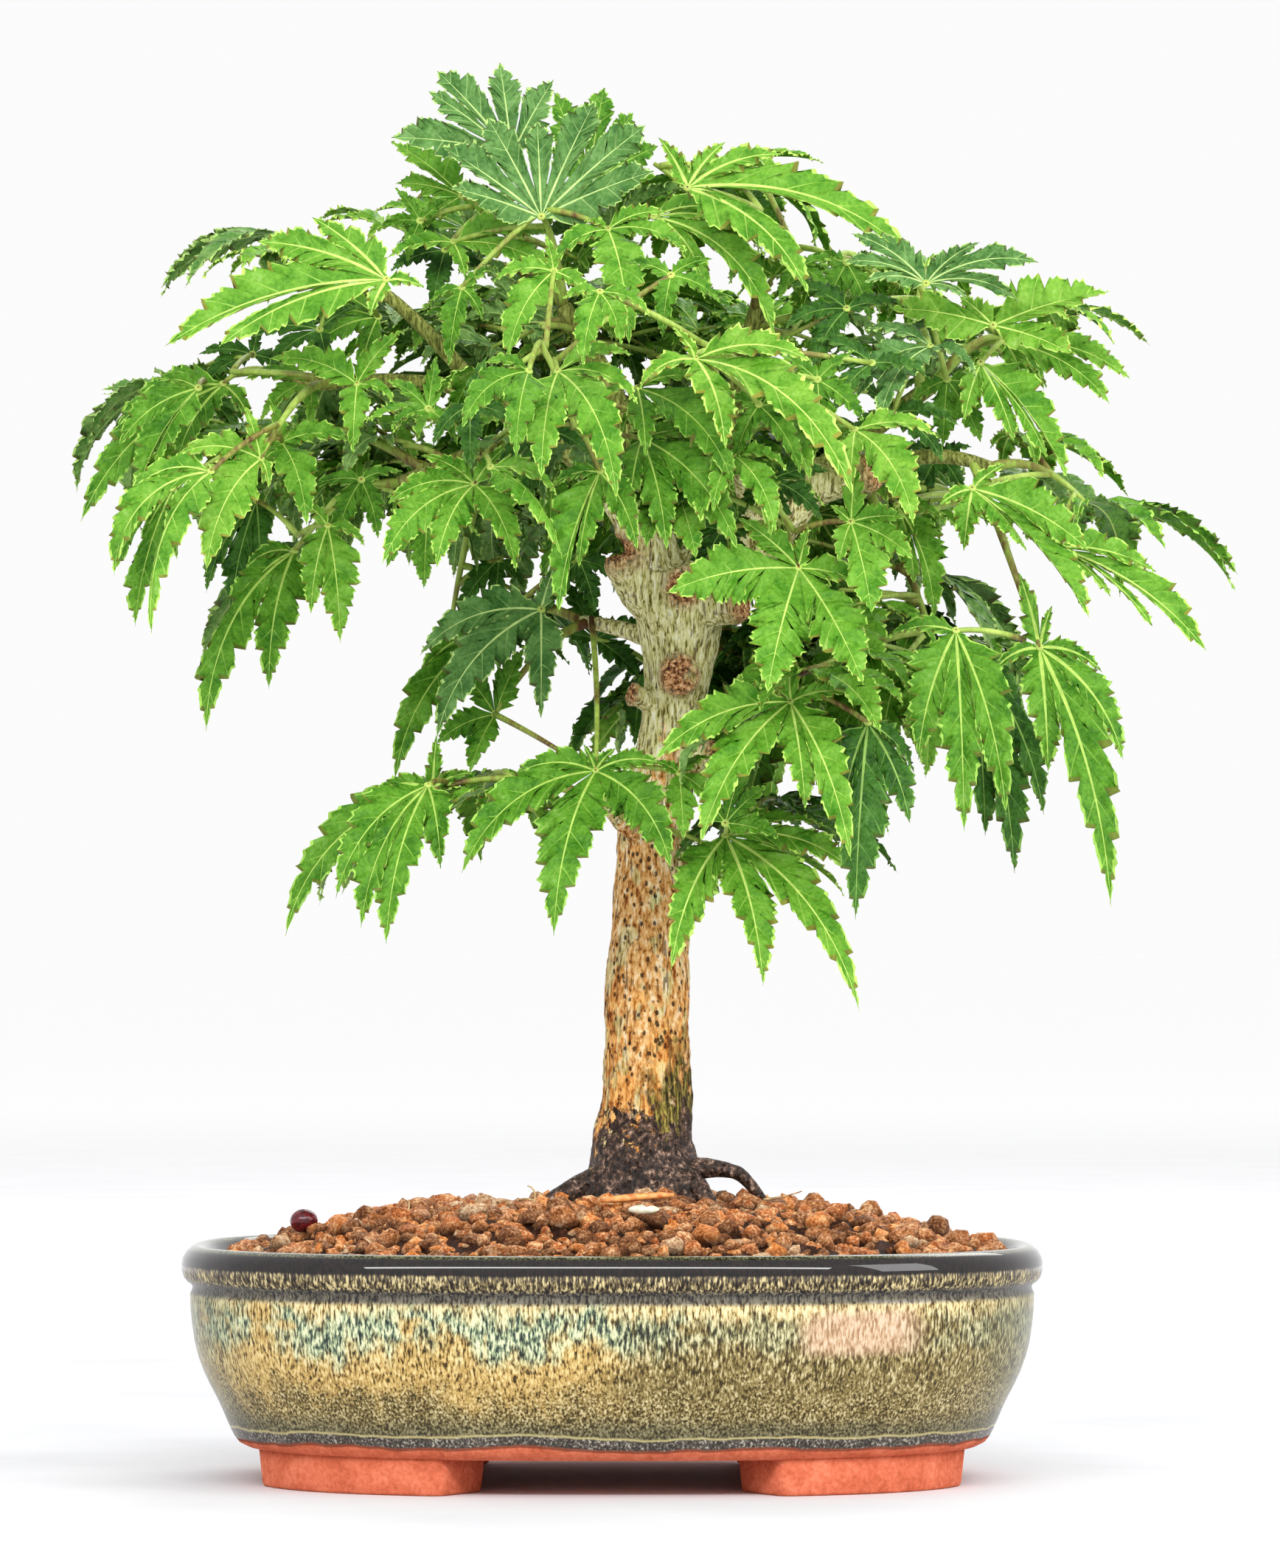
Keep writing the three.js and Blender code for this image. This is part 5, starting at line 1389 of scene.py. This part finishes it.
FIRST_TOOTH, TOOTH_CROWDING = 0.6, 1.2
COLUMNS = 8
HUB_ROWS = 3


def lobe_width(share):
    shares, widths = zip(*LOBE_SHAPE)
    return float(np.interp(share, shares, widths))


def lobe_rows(teeth, finish):
    """Rows of a lobe from the notch at its root to its tip: share along the midrib, share along
    and width at the rim, and the kind of the strip that follows."""
    shares = [(k + FIRST_TOOTH) / (teeth + FIRST_TOOTH) for k in range(teeth)]
    tips = [1 - (1 - share) ** TOOTH_CROWDING for share in shares] + [1]
    rows = []
    for k, tip in enumerate(tips):
        pitch = tip - tips[k - 1] if k else tips[1] - tip
        lean = FORWARD * lobe_width(min(tip, 0.93))
        for offset, reach in TOOTH[finish]:
            along = tip + offset * pitch
            if along < 0:
                continue
            vein = abs(offset) < AT_VEIN
            middle = along - lean + 0.1 * (1 - tip) + (offset * pitch * 2 if vein else 0)
            hooked = along + (HOOK * pitch if vein and k < teeth else 0)
            width = lobe_width(min(along + 0.02, 1)) * (1 - (1 - reach) * (1 + DEEPER * tip))
            rows.append([middle, hooked, width, RIB if vein and offset < 0 and k < teeth else BLADE])
    rows[-1][2] = 0.01
    for k, row in enumerate(rows):
        floor = rows[k - 1][0] + 0.003 if k else 0.01
        row[0] = min(max(row[0], floor), 0.985)
        row[1] = min(max(row[1], 0.004 * k), 1)
    return rows


def lobe_grid(teeth, finish):
    """The grid of one kind of lobe: each point's row and column, the faces and their kinds."""
    rows = lobe_rows(teeth, finish)
    last_row = len(rows) + HUB_ROWS - 1
    bm = bmesh.new()
    bmesh.ops.create_grid(bm, x_segments=COLUMNS - 1, y_segments=last_row, size=1)
    places, faces = arrays_of(bm)
    column = np.rint((places[:, 0] + 1) / 2 * (COLUMNS - 1)).astype(int)
    row = np.rint((places[:, 1] + 1) / 2 * last_row).astype(int)
    row_kinds = [BLADE] * HUB_ROWS + [kind for *_, kind in rows]
    kinds = []
    for corners in faces:
        low_column, low_row = column[corners].min(), row[corners].min()
        if low_column == COLUMNS // 2 - 1:
            kinds.append(VEIN)
        elif low_column in (0, COLUMNS - 2) and low_row > 1:
            kinds.append(TIP if RIB in row_kinds[low_row - 1:low_row + 1] else RIM)
        else:
            kinds.append(row_kinds[low_row])
    return dict(rows=rows, row=row, column=column, faces=faces, kinds=np.array(kinds))


# The kinds of lobe from the longest down: the length from which each is used, teeth and finish
LOBE_SIZES = ((31, 5, "fine"), (21, 4, "fine"), (14, 4, "plain"), (0, 3, "plain"))
LOBE_KINDS = [lobe_grid(teeth, finish) for _, teeth, finish in LOBE_SIZES]
for (_, teeth, _), grid in zip(LOBE_SIZES, LOBE_KINDS):
    print("lobe with", teeth, "teeth:", len(grid["faces"]), "faces")

# %% Aim a lobe that droops
LINE_STEPS = 16
LINE_SHARES = np.arange(LINE_STEPS + 1) / LINE_STEPS
DROOP_POWER = 1.15
AIM_ROUNDS = 14


def unit(vectors):
    return vectors / np.linalg.norm(vectors, axis=-1, keepdims=True)


def hanging_lines(direction, across, length, droop, aside):
    """The midribs of many lobes from their hubs, as points and as directions along them."""
    down = np.array([0, 0, -1]) - (direction @ np.array([0, 0, -1]))[:, None] * direction
    sag = np.linalg.norm(down, axis=1, keepdims=True)
    down = down / np.maximum(sag, 1e-6)

    def heading_at(share):
        turn = droop * sag * share ** DROOP_POWER
        side = aside * share
        return unit(direction[:, None] * (np.cos(turn) * np.cos(side))[..., None]
                    + down[:, None] * np.sin(turn)[..., None]
                    + across[:, None] * (np.cos(turn) * np.sin(side))[..., None])

    halfway = (LINE_SHARES[None, 1:] + LINE_SHARES[None, :-1]) / 2
    steps = heading_at(halfway) * (length / LINE_STEPS)[..., None]
    line = np.concatenate([np.zeros((len(steps), 1, 3)), np.cumsum(steps, axis=1)], axis=1)
    return line, heading_at(LINE_SHARES[None, :])


def aim(target, droop):
    """The direction and length with which a drooping lobe ends at its target."""
    direction = target.normalized()
    length = target.length
    for _ in range(AIM_ROUNDS):
        line, _ = hanging_lines(np.array([direction]), np.zeros((1, 3)), np.array([[length]]),
                                np.array([[droop]]), np.zeros((1, 1)))
        end = Vector(line[0, -1])
        direction = (direction + (target - end) / length).normalized()
        length *= target.length / end.length
    return direction, length


# %% Hold or spread the hand of a leaf
LARGE_HAND = [(-124, 0.32), (-82, 0.66), (-41, 0.94), (0, 1), (41, 0.94), (82, 0.66), (124, 0.32)]
SMALL_HAND = [(-104, 0.42), (-50, 0.86), (0, 1), (50, 0.86), (104, 0.42)]
LARGE_FROM = 26
ANGLE_SPREAD, LENGTH_SPREAD = 4, 0.07
TO_THE_LIGHT = (0, -0.3, 0.3)
shape = np.random.RandomState(5)


def held_hand(leaf):
    """Upper side, directions, angles and lengths of the lobes of a leaf with known tips."""
    droop = math.radians(leaf["droop"])
    aimed = [aim(tip - leaf["centre"], droop) for tip in leaf["tips"]]
    turns = [math.atan2(tip.z - leaf["centre"].z, tip.x - leaf["centre"].x) for tip in leaf["tips"]]
    order = sorted(range(len(turns)), key=lambda k: turns[k])
    gaps = [(turns[k] - turns[order[n - 1]]) % math.tau for n, k in enumerate(order)]
    first = gaps.index(max(gaps))
    aimed = [aimed[k] for k in order[first:] + order[:first]]
    above = Vector(TO_THE_LIGHT)
    angles = [0]
    for (way, _), (following, _) in zip(aimed, aimed[1:]):
        above += way.cross(following)
        angles.append(angles[-1] + math.degrees(way.angle(following)))
    directions, lengths = zip(*aimed)
    return above.normalized(), directions, angles, lengths


def free_hand(leaf):
    """The same for a leaf that spreads its lobes evenly round its heading."""
    slope = math.radians(leaf["slope"])
    ahead = heading_of(leaf["heading"]) * math.cos(slope)
    ahead.z = math.sin(slope)
    aside = upward(1).cross(ahead).normalized()
    hand = LARGE_HAND if leaf["length"] > LARGE_FROM else SMALL_HAND
    angles = [angle + shape.normal(0, ANGLE_SPREAD) for angle, _ in hand]
    lengths = [share * (1 + shape.normal(0, LENGTH_SPREAD)) * leaf["length"] for _, share in hand]
    turns = [math.radians(angle) for angle in angles]
    directions = [ahead * math.cos(turn) + aside * math.sin(turn) for turn in turns]
    return ahead.cross(aside).normalized(), directions, angles, lengths


# %% Choose the lobes of a leaf
LOBE_HALF_WIDTH = (0.175, 0.21)
FLAT_DROOPS, FLAT_BREADTH = (12, 48), 0.55
WIDEST_AT, NARROWER = 34, 0.7
WIDEST_TURN = 46
SINUS, BASE_SINUS = 0.26, 0.05
LEAST_DROOP, DROOP_SPREAD = 0.4, 0.2
BREADTH_SPREAD = (0.92, 1.08)
FOLD, TWIST_SPREAD, CURL, ASIDE_SPREAD, PLEAT = (22, 8), 16, 8, 18, (0.6, 1.3)
SKEW_SPREAD, BACKWARDS = 0.07, 0.08
WAVE_ROWS = 64


def lobes_of(leaf):
    """The lobes of one leaf, each with its frame, sizes and the way that it bends."""
    held = "tips" in leaf
    above, directions, angles, lengths = held_hand(leaf) if held else free_hand(leaf)
    leaf["above"] = above
    curl = shape.normal(0, 1) * CURL
    flat = float(np.interp(leaf["droop"], FLAT_DROOPS, (1, 0)))
    breadth = shape.uniform(*LOBE_HALF_WIDTH) * (1 + FLAT_BREADTH * flat)
    slack = 0 if held else 1
    droop = leaf["droop"] * (1 - slack * shape.uniform(0, LEAST_DROOP))
    found = []
    for k, (direction, angle, length) in enumerate(zip(directions, angles, lengths)):
        halves, sinuses = [], []
        for other in (k + 1, k - 1):
            if 0 <= other < len(angles):
                halves.append(min(WIDEST_TURN, abs(angles[other] - angle) / 2))
                sinuses.append(SINUS * (1 + flat) * min(length, lengths[other]))
            else:
                halves.append(WIDEST_TURN)
                sinuses.append(BASE_SINUS * length)
        narrower = (WIDEST_AT / max(length, WIDEST_AT)) ** NARROWER
        found.append(dict(
            kind=next(kind for kind, (least, *_) in enumerate(LOBE_SIZES) if length > least),
            centre=leaf["centre"], direction=direction, across=above.cross(direction).normalized(),
            length=length, halves=halves, sinuses=sinuses, leaf_length=leaf["length"],
            half_width=breadth * shape.uniform(*BREADTH_SPREAD) * narrower,
            droop=math.radians(droop * (1 + slack * shape.normal(0, DROOP_SPREAD))),
            aside=math.radians(slack * (shape.normal(0, ASIDE_SPREAD) - angle * BACKWARDS)),
            fold=math.radians(shape.normal(*FOLD)),
            twist=math.radians(shape.normal(0, TWIST_SPREAD) + curl),
            skew=1 + shape.normal(0, SKEW_SPREAD, 2), pleat=shape.uniform(*PLEAT),
            wave=shape.normal(0, 1, (2, WAVE_ROWS))))
    return found


# %% Cut every lobe flat
MIDRIB_HALF = 0.007
RIM_SHARE = 0.0085
RIM_ROOM = 0.985
HALF_COLUMNS = COLUMNS // 2
HUB_SHARES = np.array([0.06, 0.55, 1])
INNER_COLUMN = 0.52


def read(lobes, key):
    return np.array([lobe[key] for lobe in lobes], float)


def flat_places(grid, lobes, row, step, side):
    """How far along and out from the midrib each point of each lobe lies, how far across its
    half it is, and the lobe's width there. Side is 1 right of the midrib and 0 left of it."""
    length, leaf_length = read(lobes, "length")[:, None], read(lobes, "leaf_length")[:, None]
    half, sinus = np.radians(read(lobes, "halves")), read(lobes, "sinuses")
    mid_share, rim_share, wide, _ = np.array(grid["rows"])[np.maximum(row - HUB_ROWS, 0)].T
    rim_share = rim_share[None, :] ** read(lobes, "skew")[:, side]
    early = (row < HUB_ROWS)[None, :]
    hub_share = HUB_SHARES[np.minimum(row, HUB_ROWS - 1)]
    sinus_along = sinus[:, side] * np.cos(half[:, side])
    sinus_out = sinus[:, side] * np.sin(half[:, side])
    start = sinus.mean(axis=1, keepdims=True) * 0.7
    mid_along = np.where(early, start * hub_share, start + (length - start) * mid_share)
    rim_along = np.where(early, sinus_along * hub_share, sinus_along + (length - sinus_along) * rim_share)
    grow = np.clip(rim_share / 0.16, 0, 1)
    grow = grow * grow * (3 - 2 * grow)
    half_width = read(lobes, "half_width")[:, None] * length * wide
    rim_out = np.where(early, sinus_out * hub_share, sinus_out * (1 - grow) + half_width * grow)
    rim_out = np.minimum(rim_out, rim_along * np.tan(half[:, side]) * np.where(early, 1, RIM_ROOM))
    vein = MIDRIB_HALF * leaf_length * (1.05 - np.where(early, 0, mid_share))
    vein = np.minimum(vein, rim_out * 0.4)
    rim_from = 1 - np.minimum(RIM_SHARE * leaf_length / np.maximum(rim_out, 0.01), 0.3)
    spot = np.choose(step, [0, INNER_COLUMN, rim_from, 1])
    along = mid_along + (rim_along - mid_along) * spot ** 1.1
    return along, vein + (rim_out - vein) * spot, spot, wide


# %% Bend every lobe at once
FOLD_EASE = 0.45
CRINKLE, RUFFLE = 0.38, 0.05
SWELL = np.array([0, 1, 0.75, 0.5])


def midrib_frames(lobes):
    """Along every midrib: its points, and the directions to its side and out of the blade."""
    length, droop, aside, twist = (
        read(lobes, key)[:, None] for key in ("length", "droop", "aside", "twist"))
    across = read(lobes, "across")
    line, along = hanging_lines(read(lobes, "direction"), across, length, droop, aside)
    side = unit(across[:, None] - (across[:, None] * along).sum(axis=2, keepdims=True) * along)
    out = np.cross(along, side)
    turn = (twist * LINE_SHARES[None, :] ** 1.2)[..., None]
    return (line + read(lobes, "centre")[:, None], side * np.cos(turn) + out * np.sin(turn),
            out * np.cos(turn) - side * np.sin(turn))


def between_veins(grid):
    """For each row, how far it lies from the side veins: 0 on one, 1 halfway to the next."""
    found = np.zeros(len(grid["rows"]))
    veins = [k for k, (*_, kind) in enumerate(grid["rows"]) if kind == RIB]
    for first, last in zip(veins, veins[1:]):
        for k in range(first, last):
            found[k] = math.sin(math.pi * (k - first) / (last - first))
    return found


def bend_lobes(grid, lobes):
    """Points of all lobes of one kind: an array of lobes by grid points by x, y, z."""
    row, column = grid["row"], grid["column"]
    right = column >= HALF_COLUMNS
    step = np.where(right, column - HALF_COLUMNS, HALF_COLUMNS - 1 - column)
    side_of = right.astype(int)
    along, out, spot, wide = flat_places(grid, lobes, row, step, side_of)
    length = read(lobes, "length")[:, None]
    grown_in = np.clip(along / length * 3, 0, 1)
    ripple = np.where(row < HUB_ROWS, 0, between_veins(grid)[np.maximum(row - HUB_ROWS, 0)])
    pick = np.arange(len(lobes))[:, None]
    wave = read(lobes, "wave")[pick, side_of[None, :], np.minimum(row, WAVE_ROWS - 1)[None, :]]
    fold = read(lobes, "fold")[:, None] * grown_in
    lift = (out * np.tan(fold) * (1 - FOLD_EASE * spot)
            + read(lobes, "pleat")[:, None] * ripple * SWELL[step] * grown_in
            + CRINKLE * wave * (step == 3) * grown_in * (wide > 0.02))
    out = out * np.cos(fold * 0.6) * (1 + RUFFLE * wave * (step > 1))
    reach = np.clip(along / length, 0, 1) * LINE_STEPS
    low = np.minimum(reach.astype(int), LINE_STEPS - 1)
    share = (reach - low)[..., None]
    line, side, above = (table[pick, low] * (1 - share) + table[pick, low + 1] * share
                         for table in midrib_frames(lobes))
    sign = np.where(right, -1, 1)[None, :, None]
    return line + side * out[..., None] * sign + above * lift[..., None]


# %% [markdown]
# ## Greens
# The tree carries leaves of every age. Young ones in the light are yellow-green with soft
# pale veins, and old ones are deep green with a bluish bloom. The greens are also dealt out as
# painted light and shade: lighter greens towards the top, the front and the outside of the
# crown, and darker ones inside it and where a leaf lies in shade. A gradient over the crown
# would be one material instead of many, but each leaf would change colour along its length. So
# the colours are plain, one set for each leaf, with only fine grain and paler patches of
# painted sheen as pattern.

# %% Mix the greens
# The greens from deep to young stand for leaf age and also for painted shade and light; sheen is a
# grey-green for a painted sheen on some leaves.
GREENS = {
    # name: blade dark, blade light, vein, rim, tooth tips
    "deep": ((28, 66, 16), (64, 112, 36), (140, 178, 84), (114, 158, 64), (80, 98, 36)),
    "forest": ((48, 102, 16), (94, 148, 40), (178, 210, 98), (158, 204, 84), (104, 120, 40)),
    "leaf": ((62, 122, 22), (110, 164, 50), (198, 226, 114), (184, 226, 100), (130, 136, 48)),
    "fresh": ((74, 134, 24), (124, 174, 58), (206, 232, 120), (196, 232, 108), (150, 152, 56)),
    "young": ((88, 148, 26), (140, 190, 62), (210, 236, 126), (202, 236, 116), (158, 162, 62)),
    "bloom_and_sheen": ((66, 114, 46), (122, 160, 84), (188, 218, 124), (174, 210, 112), (118, 130, 62)),
    "sheen": ((52, 98, 38), (100, 144, 74), (196, 224, 138), (182, 216, 122), (90, 108, 52)),
}
RIB_SHARE = 0.4
SHEEN_PATCH_SHARE = 0.2


def blade_green(name, dark, light):
    paint = Paint(name, Specular_IOR_Level=0.14)
    cloud = paint.noise(6, detail=3, rough=0.6)
    grain = paint.noise(0.9, detail=3, rough=0.7)
    # painted sheen: the lightest patches of the blade are paled towards grey-white
    bloom_and_sheen = [value + (235 - value) * SHEEN_PATCH_SHARE for value in light]
    colour = paint.ramp(cloud * 0.6 + grain * 0.4, (0.37, dark), (0.58, light), (0.7, bloom_and_sheen))
    return paint.wear(colour, 0.36 + cloud * 0.2, bumps=[(paint.cells(1.2), 0.24), (cloud, 0.9)])


def plain_green(name, tone, darker):
    paint = Paint(name, Specular_IOR_Level=0.2)
    grain = paint.noise(2.4)
    low = [value * darker for value in tone]
    colour = paint.ramp(grain, (0.35, low), (0.65, tone))
    return paint.wear(colour, 0.5 + grain * 0.1, bumps=[(grain, 0.08)])


leaf_paints = {}
for name, (dark, light, vein, rim, tip) in GREENS.items():
    rib = [low + (high - low) * RIB_SHARE for low, high in zip(light, vein)]
    leaf_paints[name] = [blade_green(name + "_blade", dark, light)] + [
        plain_green(f"{name}_{part}", tone, darker) for part, tone, darker in (
            ("vein", vein, 0.9), ("rib", rib, 0.9), ("rim", rim, 0.86), ("tip", tip, 0.84))]
print(len(leaf_paints), "greens of five paints each")

# %% Deal the greens out
BRIGHT_FROM, YOUNG_FROM, DARK_FROM = 0.5, 0.8, -0.42
BETWEEN = ("forest", "leaf", "bloom_and_sheen", "leaf", "fresh")
CROWN_MIDDLE, CROWN_REACH = (8, 0, 225), 110
OUTWARD, INSIDE, LIGHT_SPAN = 0.9, 0.75, 300
MOOD, SMALL_BRIGHTER, MIXED = 0.16, 0.06, 0.7
mood = np.random.RandomState(31)
spray_moods = mood.normal(0, MOOD, len(SPRAYS))


def green_for(leaf):
    """Painted light and shade: brighter greens towards the top, the front and the outside of the crown."""
    if "green" in leaf:
        return leaf["green"]
    off = leaf["centre"] - Vector(CROWN_MIDDLE)
    light = OUTWARD * (off.length / CROWN_REACH - INSIDE) + off.z / LIGHT_SPAN - off.y / LIGHT_SPAN
    light += spray_moods[leaf["spray"]] + mood.normal(0, MOOD) + (0 if leaf["large"] else SMALL_BRIGHTER)
    if light > BRIGHT_FROM:
        return "young" if light > YOUNG_FROM else "fresh"
    if light < DARK_FROM:
        return "deep"
    share = (light - DARK_FROM) / (BRIGHT_FROM - DARK_FROM)
    step = share * len(BETWEEN) + mood.normal(0, MIXED)
    return BETWEEN[int(np.clip(step, 0, len(BETWEEN) - 1))]


by_green = {name: [] for name in GREENS}
for leaf in leaves:
    by_green[green_for(leaf)].append(leaf)
for name, dealt in by_green.items():
    print(name, len(dealt), "leaves")

# %% Join the leaves of each green
MOST_LEAVES = 45


def leaf_piece(name, dealt, paints):
    lobes = [lobe for leaf in dealt for lobe in lobes_of(leaf)]
    parts = []
    for kind, grid in enumerate(LOBE_KINDS):
        chosen = [lobe for lobe in lobes if lobe["kind"] == kind]
        if chosen:
            parts += [(points, grid["faces"], grid["kinds"]) for points in bend_lobes(grid, chosen)]
    return joined_piece(name, parts, paints)


leaf_pieces = []
for name, dealt in by_green.items():
    for number, first in enumerate(range(0, len(dealt), MOST_LEAVES), 1):
        leaf_pieces.append(leaf_piece(f"{name}_leaves_{number}", dealt[first:first + MOST_LEAVES],
                                      leaf_paints[name]))
for index, (name, *_) in enumerate(SPRAYS):
    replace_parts(leaf_pieces[index % len(leaf_pieces)], name)

# %% Mark the hubs
HUB_HALO, HUB_DOT = (1.05, 1.05, 0.35), (0.42, 0.42, 0.42)
HUB_LIFT = 0.15
bead = bmesh.new()
bmesh.ops.create_icosphere(bead, subdivisions=2, radius=1)
bead_points, bead_faces = arrays_of(bead)
beads = []
for leaf in [leaf for leaf in leaves if leaf["large"]]:
    turn = np.array(leaf["above"].to_track_quat("Z", "Y").to_matrix())
    hub = np.array(leaf["centre"] + leaf["above"] * HUB_LIFT)
    for kind, radii in enumerate((HUB_HALO, HUB_DOT)):
        beads.append(((bead_points * radii) @ turn.T + hub, bead_faces, np.full(len(bead_faces), kind)))
joined_piece("leaf_hubs", beads, [plain_green("hub_halo", (190, 214, 104), 0.85),
                                  plain_green("hub_dot", (142, 96, 50), 0.6)])

# %% [markdown]
# ## Stems and petioles
# Each leaf hangs on a thin petiole, yellow-green where it is young and reddish where the sun
# caught it. A curve with a bevel would be easy to bend by hand, but there are hundreds of them,
# so they are round bars of few sides in one mesh.

# %% Grow the twigs
STEM_THICK, STEM_THIN, STEM_SIDES, STEM_STEPS = 1.36, 0.55, 7, 10
TWIG_THICK, TWIG_THIN, TWIG_SIDES, TWIG_STEPS = 0.95, 0.7, 6, 4
SHOWN_START, SHOWN_END = 0.5, 0.8
PETIOLE_THIN, SMALL_PETIOLE_THIN, PETIOLE_TAPER = 0.62, 0.5, 1.25
PETIOLE_ARCH, PETIOLE_STEPS = 2, 5
SHOWN_STEMS = [
    # x and z as seen, and depth: thin stems against the sky
    ((-4, 169, -38), (-3, 187, -14), (-5, 205, 16)), ((-9, 171, -36), (-18, 177, -16), (-28, 182, 5)),
]


def arched(start, end):
    return start, (start + end) / 2 + upward(PETIOLE_ARCH), end


green_wood = bmesh.new()
for curve in stems:
    tapered_bar(green_wood, curve, STEM_STEPS, STEM_THICK, STEM_THIN, STEM_SIDES)
for curve in SHOWN_STEMS:
    places = [seen_at(*spot) for spot in curve]
    tapered_bar(green_wood, places, STEM_STEPS, SHOWN_START, SHOWN_END, STEM_SIDES)
for start, end in twigs:
    tapered_bar(green_wood, arched(start, end), TWIG_STEPS, TWIG_THICK, TWIG_THIN, TWIG_SIDES)
for leaf in leaves:
    if leaf["node"] is not None:
        thin = PETIOLE_THIN if leaf["large"] else SMALL_PETIOLE_THIN
        tapered_bar(green_wood, arched(leaf["node"], leaf["centre"]), PETIOLE_STEPS,
                    thin * PETIOLE_TAPER, thin, TWIG_SIDES)
shoot = Paint("green_shoots", Specular_IOR_Level=0.4)
blush = shoot.noise(14)
streak = shoot.noise(1.2, stretch=(1, 1, 4))
shoot_colour = shoot.ramp(blush * 0.7 + streak * 0.3, (0.34, (96, 62, 36)), (0.43, (134, 132, 58)),
                          (0.52, (150, 178, 72)), (0.66, (188, 210, 104)))
shoot.wear(shoot_colour, 0.42 + streak * 0.2, bumps=[(streak, 0.15)])
piece_of("stems_and_petioles", green_wood, shoot)

# %% [markdown]
# ## Studio
# The tree stands on a pale table in even daylight from a large soft source, with white all
# round it, so shadows are faint and the glaze mirrors one long bright edge. A picture of a room
# would light it too, but area lights in a white world do that with little noise. Far off, the
# table is painted whiter as painted light, so that it meets the white world without a horizon.

# %% The table
TABLE_HALF = 40
NEAR_TABLE, FAR_TABLE = 300, 4000
WHITE = (255, 255, 255)

floor = bmesh.new()
bmesh.ops.create_grid(floor, x_segments=1, y_segments=1, size=TABLE_HALF)
mesh = bpy.data.meshes.new("table")
floor.to_mesh(mesh)
floor.free()
table = bpy.data.objects.new("table", mesh)
bpy.context.scene.collection.objects.link(table)
pale = Paint("pale_table", Specular_IOR_Level=0.1)
# painted light: the table turns from pale grey near the tree to white far off, where less lamp light would
# reach it
far_off = pale.node("ShaderNodeVectorMath", {"operation": "LENGTH"}, {0: pale.place}, "Value")
near_tone = pale.ramp(pale.noise(60, detail=3), (0.3, (216, 216, 220)), (0.7, (224, 224, 227)))
pale.wear(pale.mix(pale.rise(far_off, NEAR_TABLE, FAR_TABLE), near_tone, WHITE),
          0.7 + pale.noise(20) * 0.1)
mesh.materials.append(pale.material)
print("table", 2 * TABLE_HALF, "m across")

# %% Light and air
LIT_HEIGHT = 0.17
WORLD_STRENGTH = 0.97
SOFTBOXES = {
    # place and size in metres, and power in watts
    "strip_front": ((-0.12, -1.5, 1.15), (2.4, 0.2), 26),
    "window_right": ((1.3, -0.8, 0.9), (0.7, 0.9), 10),
    "window_back": ((0.4, 1.4, 1.4), (1.2, 0.8), 10),
}
for name, (place, size, power) in SOFTBOXES.items():
    light = bpy.data.lights.new(name, "AREA")
    light.shape = "RECTANGLE"
    light.size, light.size_y = size
    light.energy = power
    lamp = bpy.data.objects.new(name, light)
    lamp.location = place
    to_tree = Vector((POT.x, POT.y, LIT_HEIGHT)) - Vector(place)
    lamp.rotation_euler = to_tree.to_track_quat("-Z", "Y").to_euler()
    bpy.context.scene.collection.objects.link(lamp)
world = bpy.data.worlds.new("white_room")
world.use_nodes = True
background = world.node_tree.nodes["Background"]
background.inputs["Color"].default_value = srgb(*WHITE)
background.inputs["Strength"].default_value = WORLD_STRENGTH
bpy.context.scene.world = world
bpy.context.scene.view_settings.view_transform = "Standard"
print(len(SOFTBOXES), "softboxes in a white world")
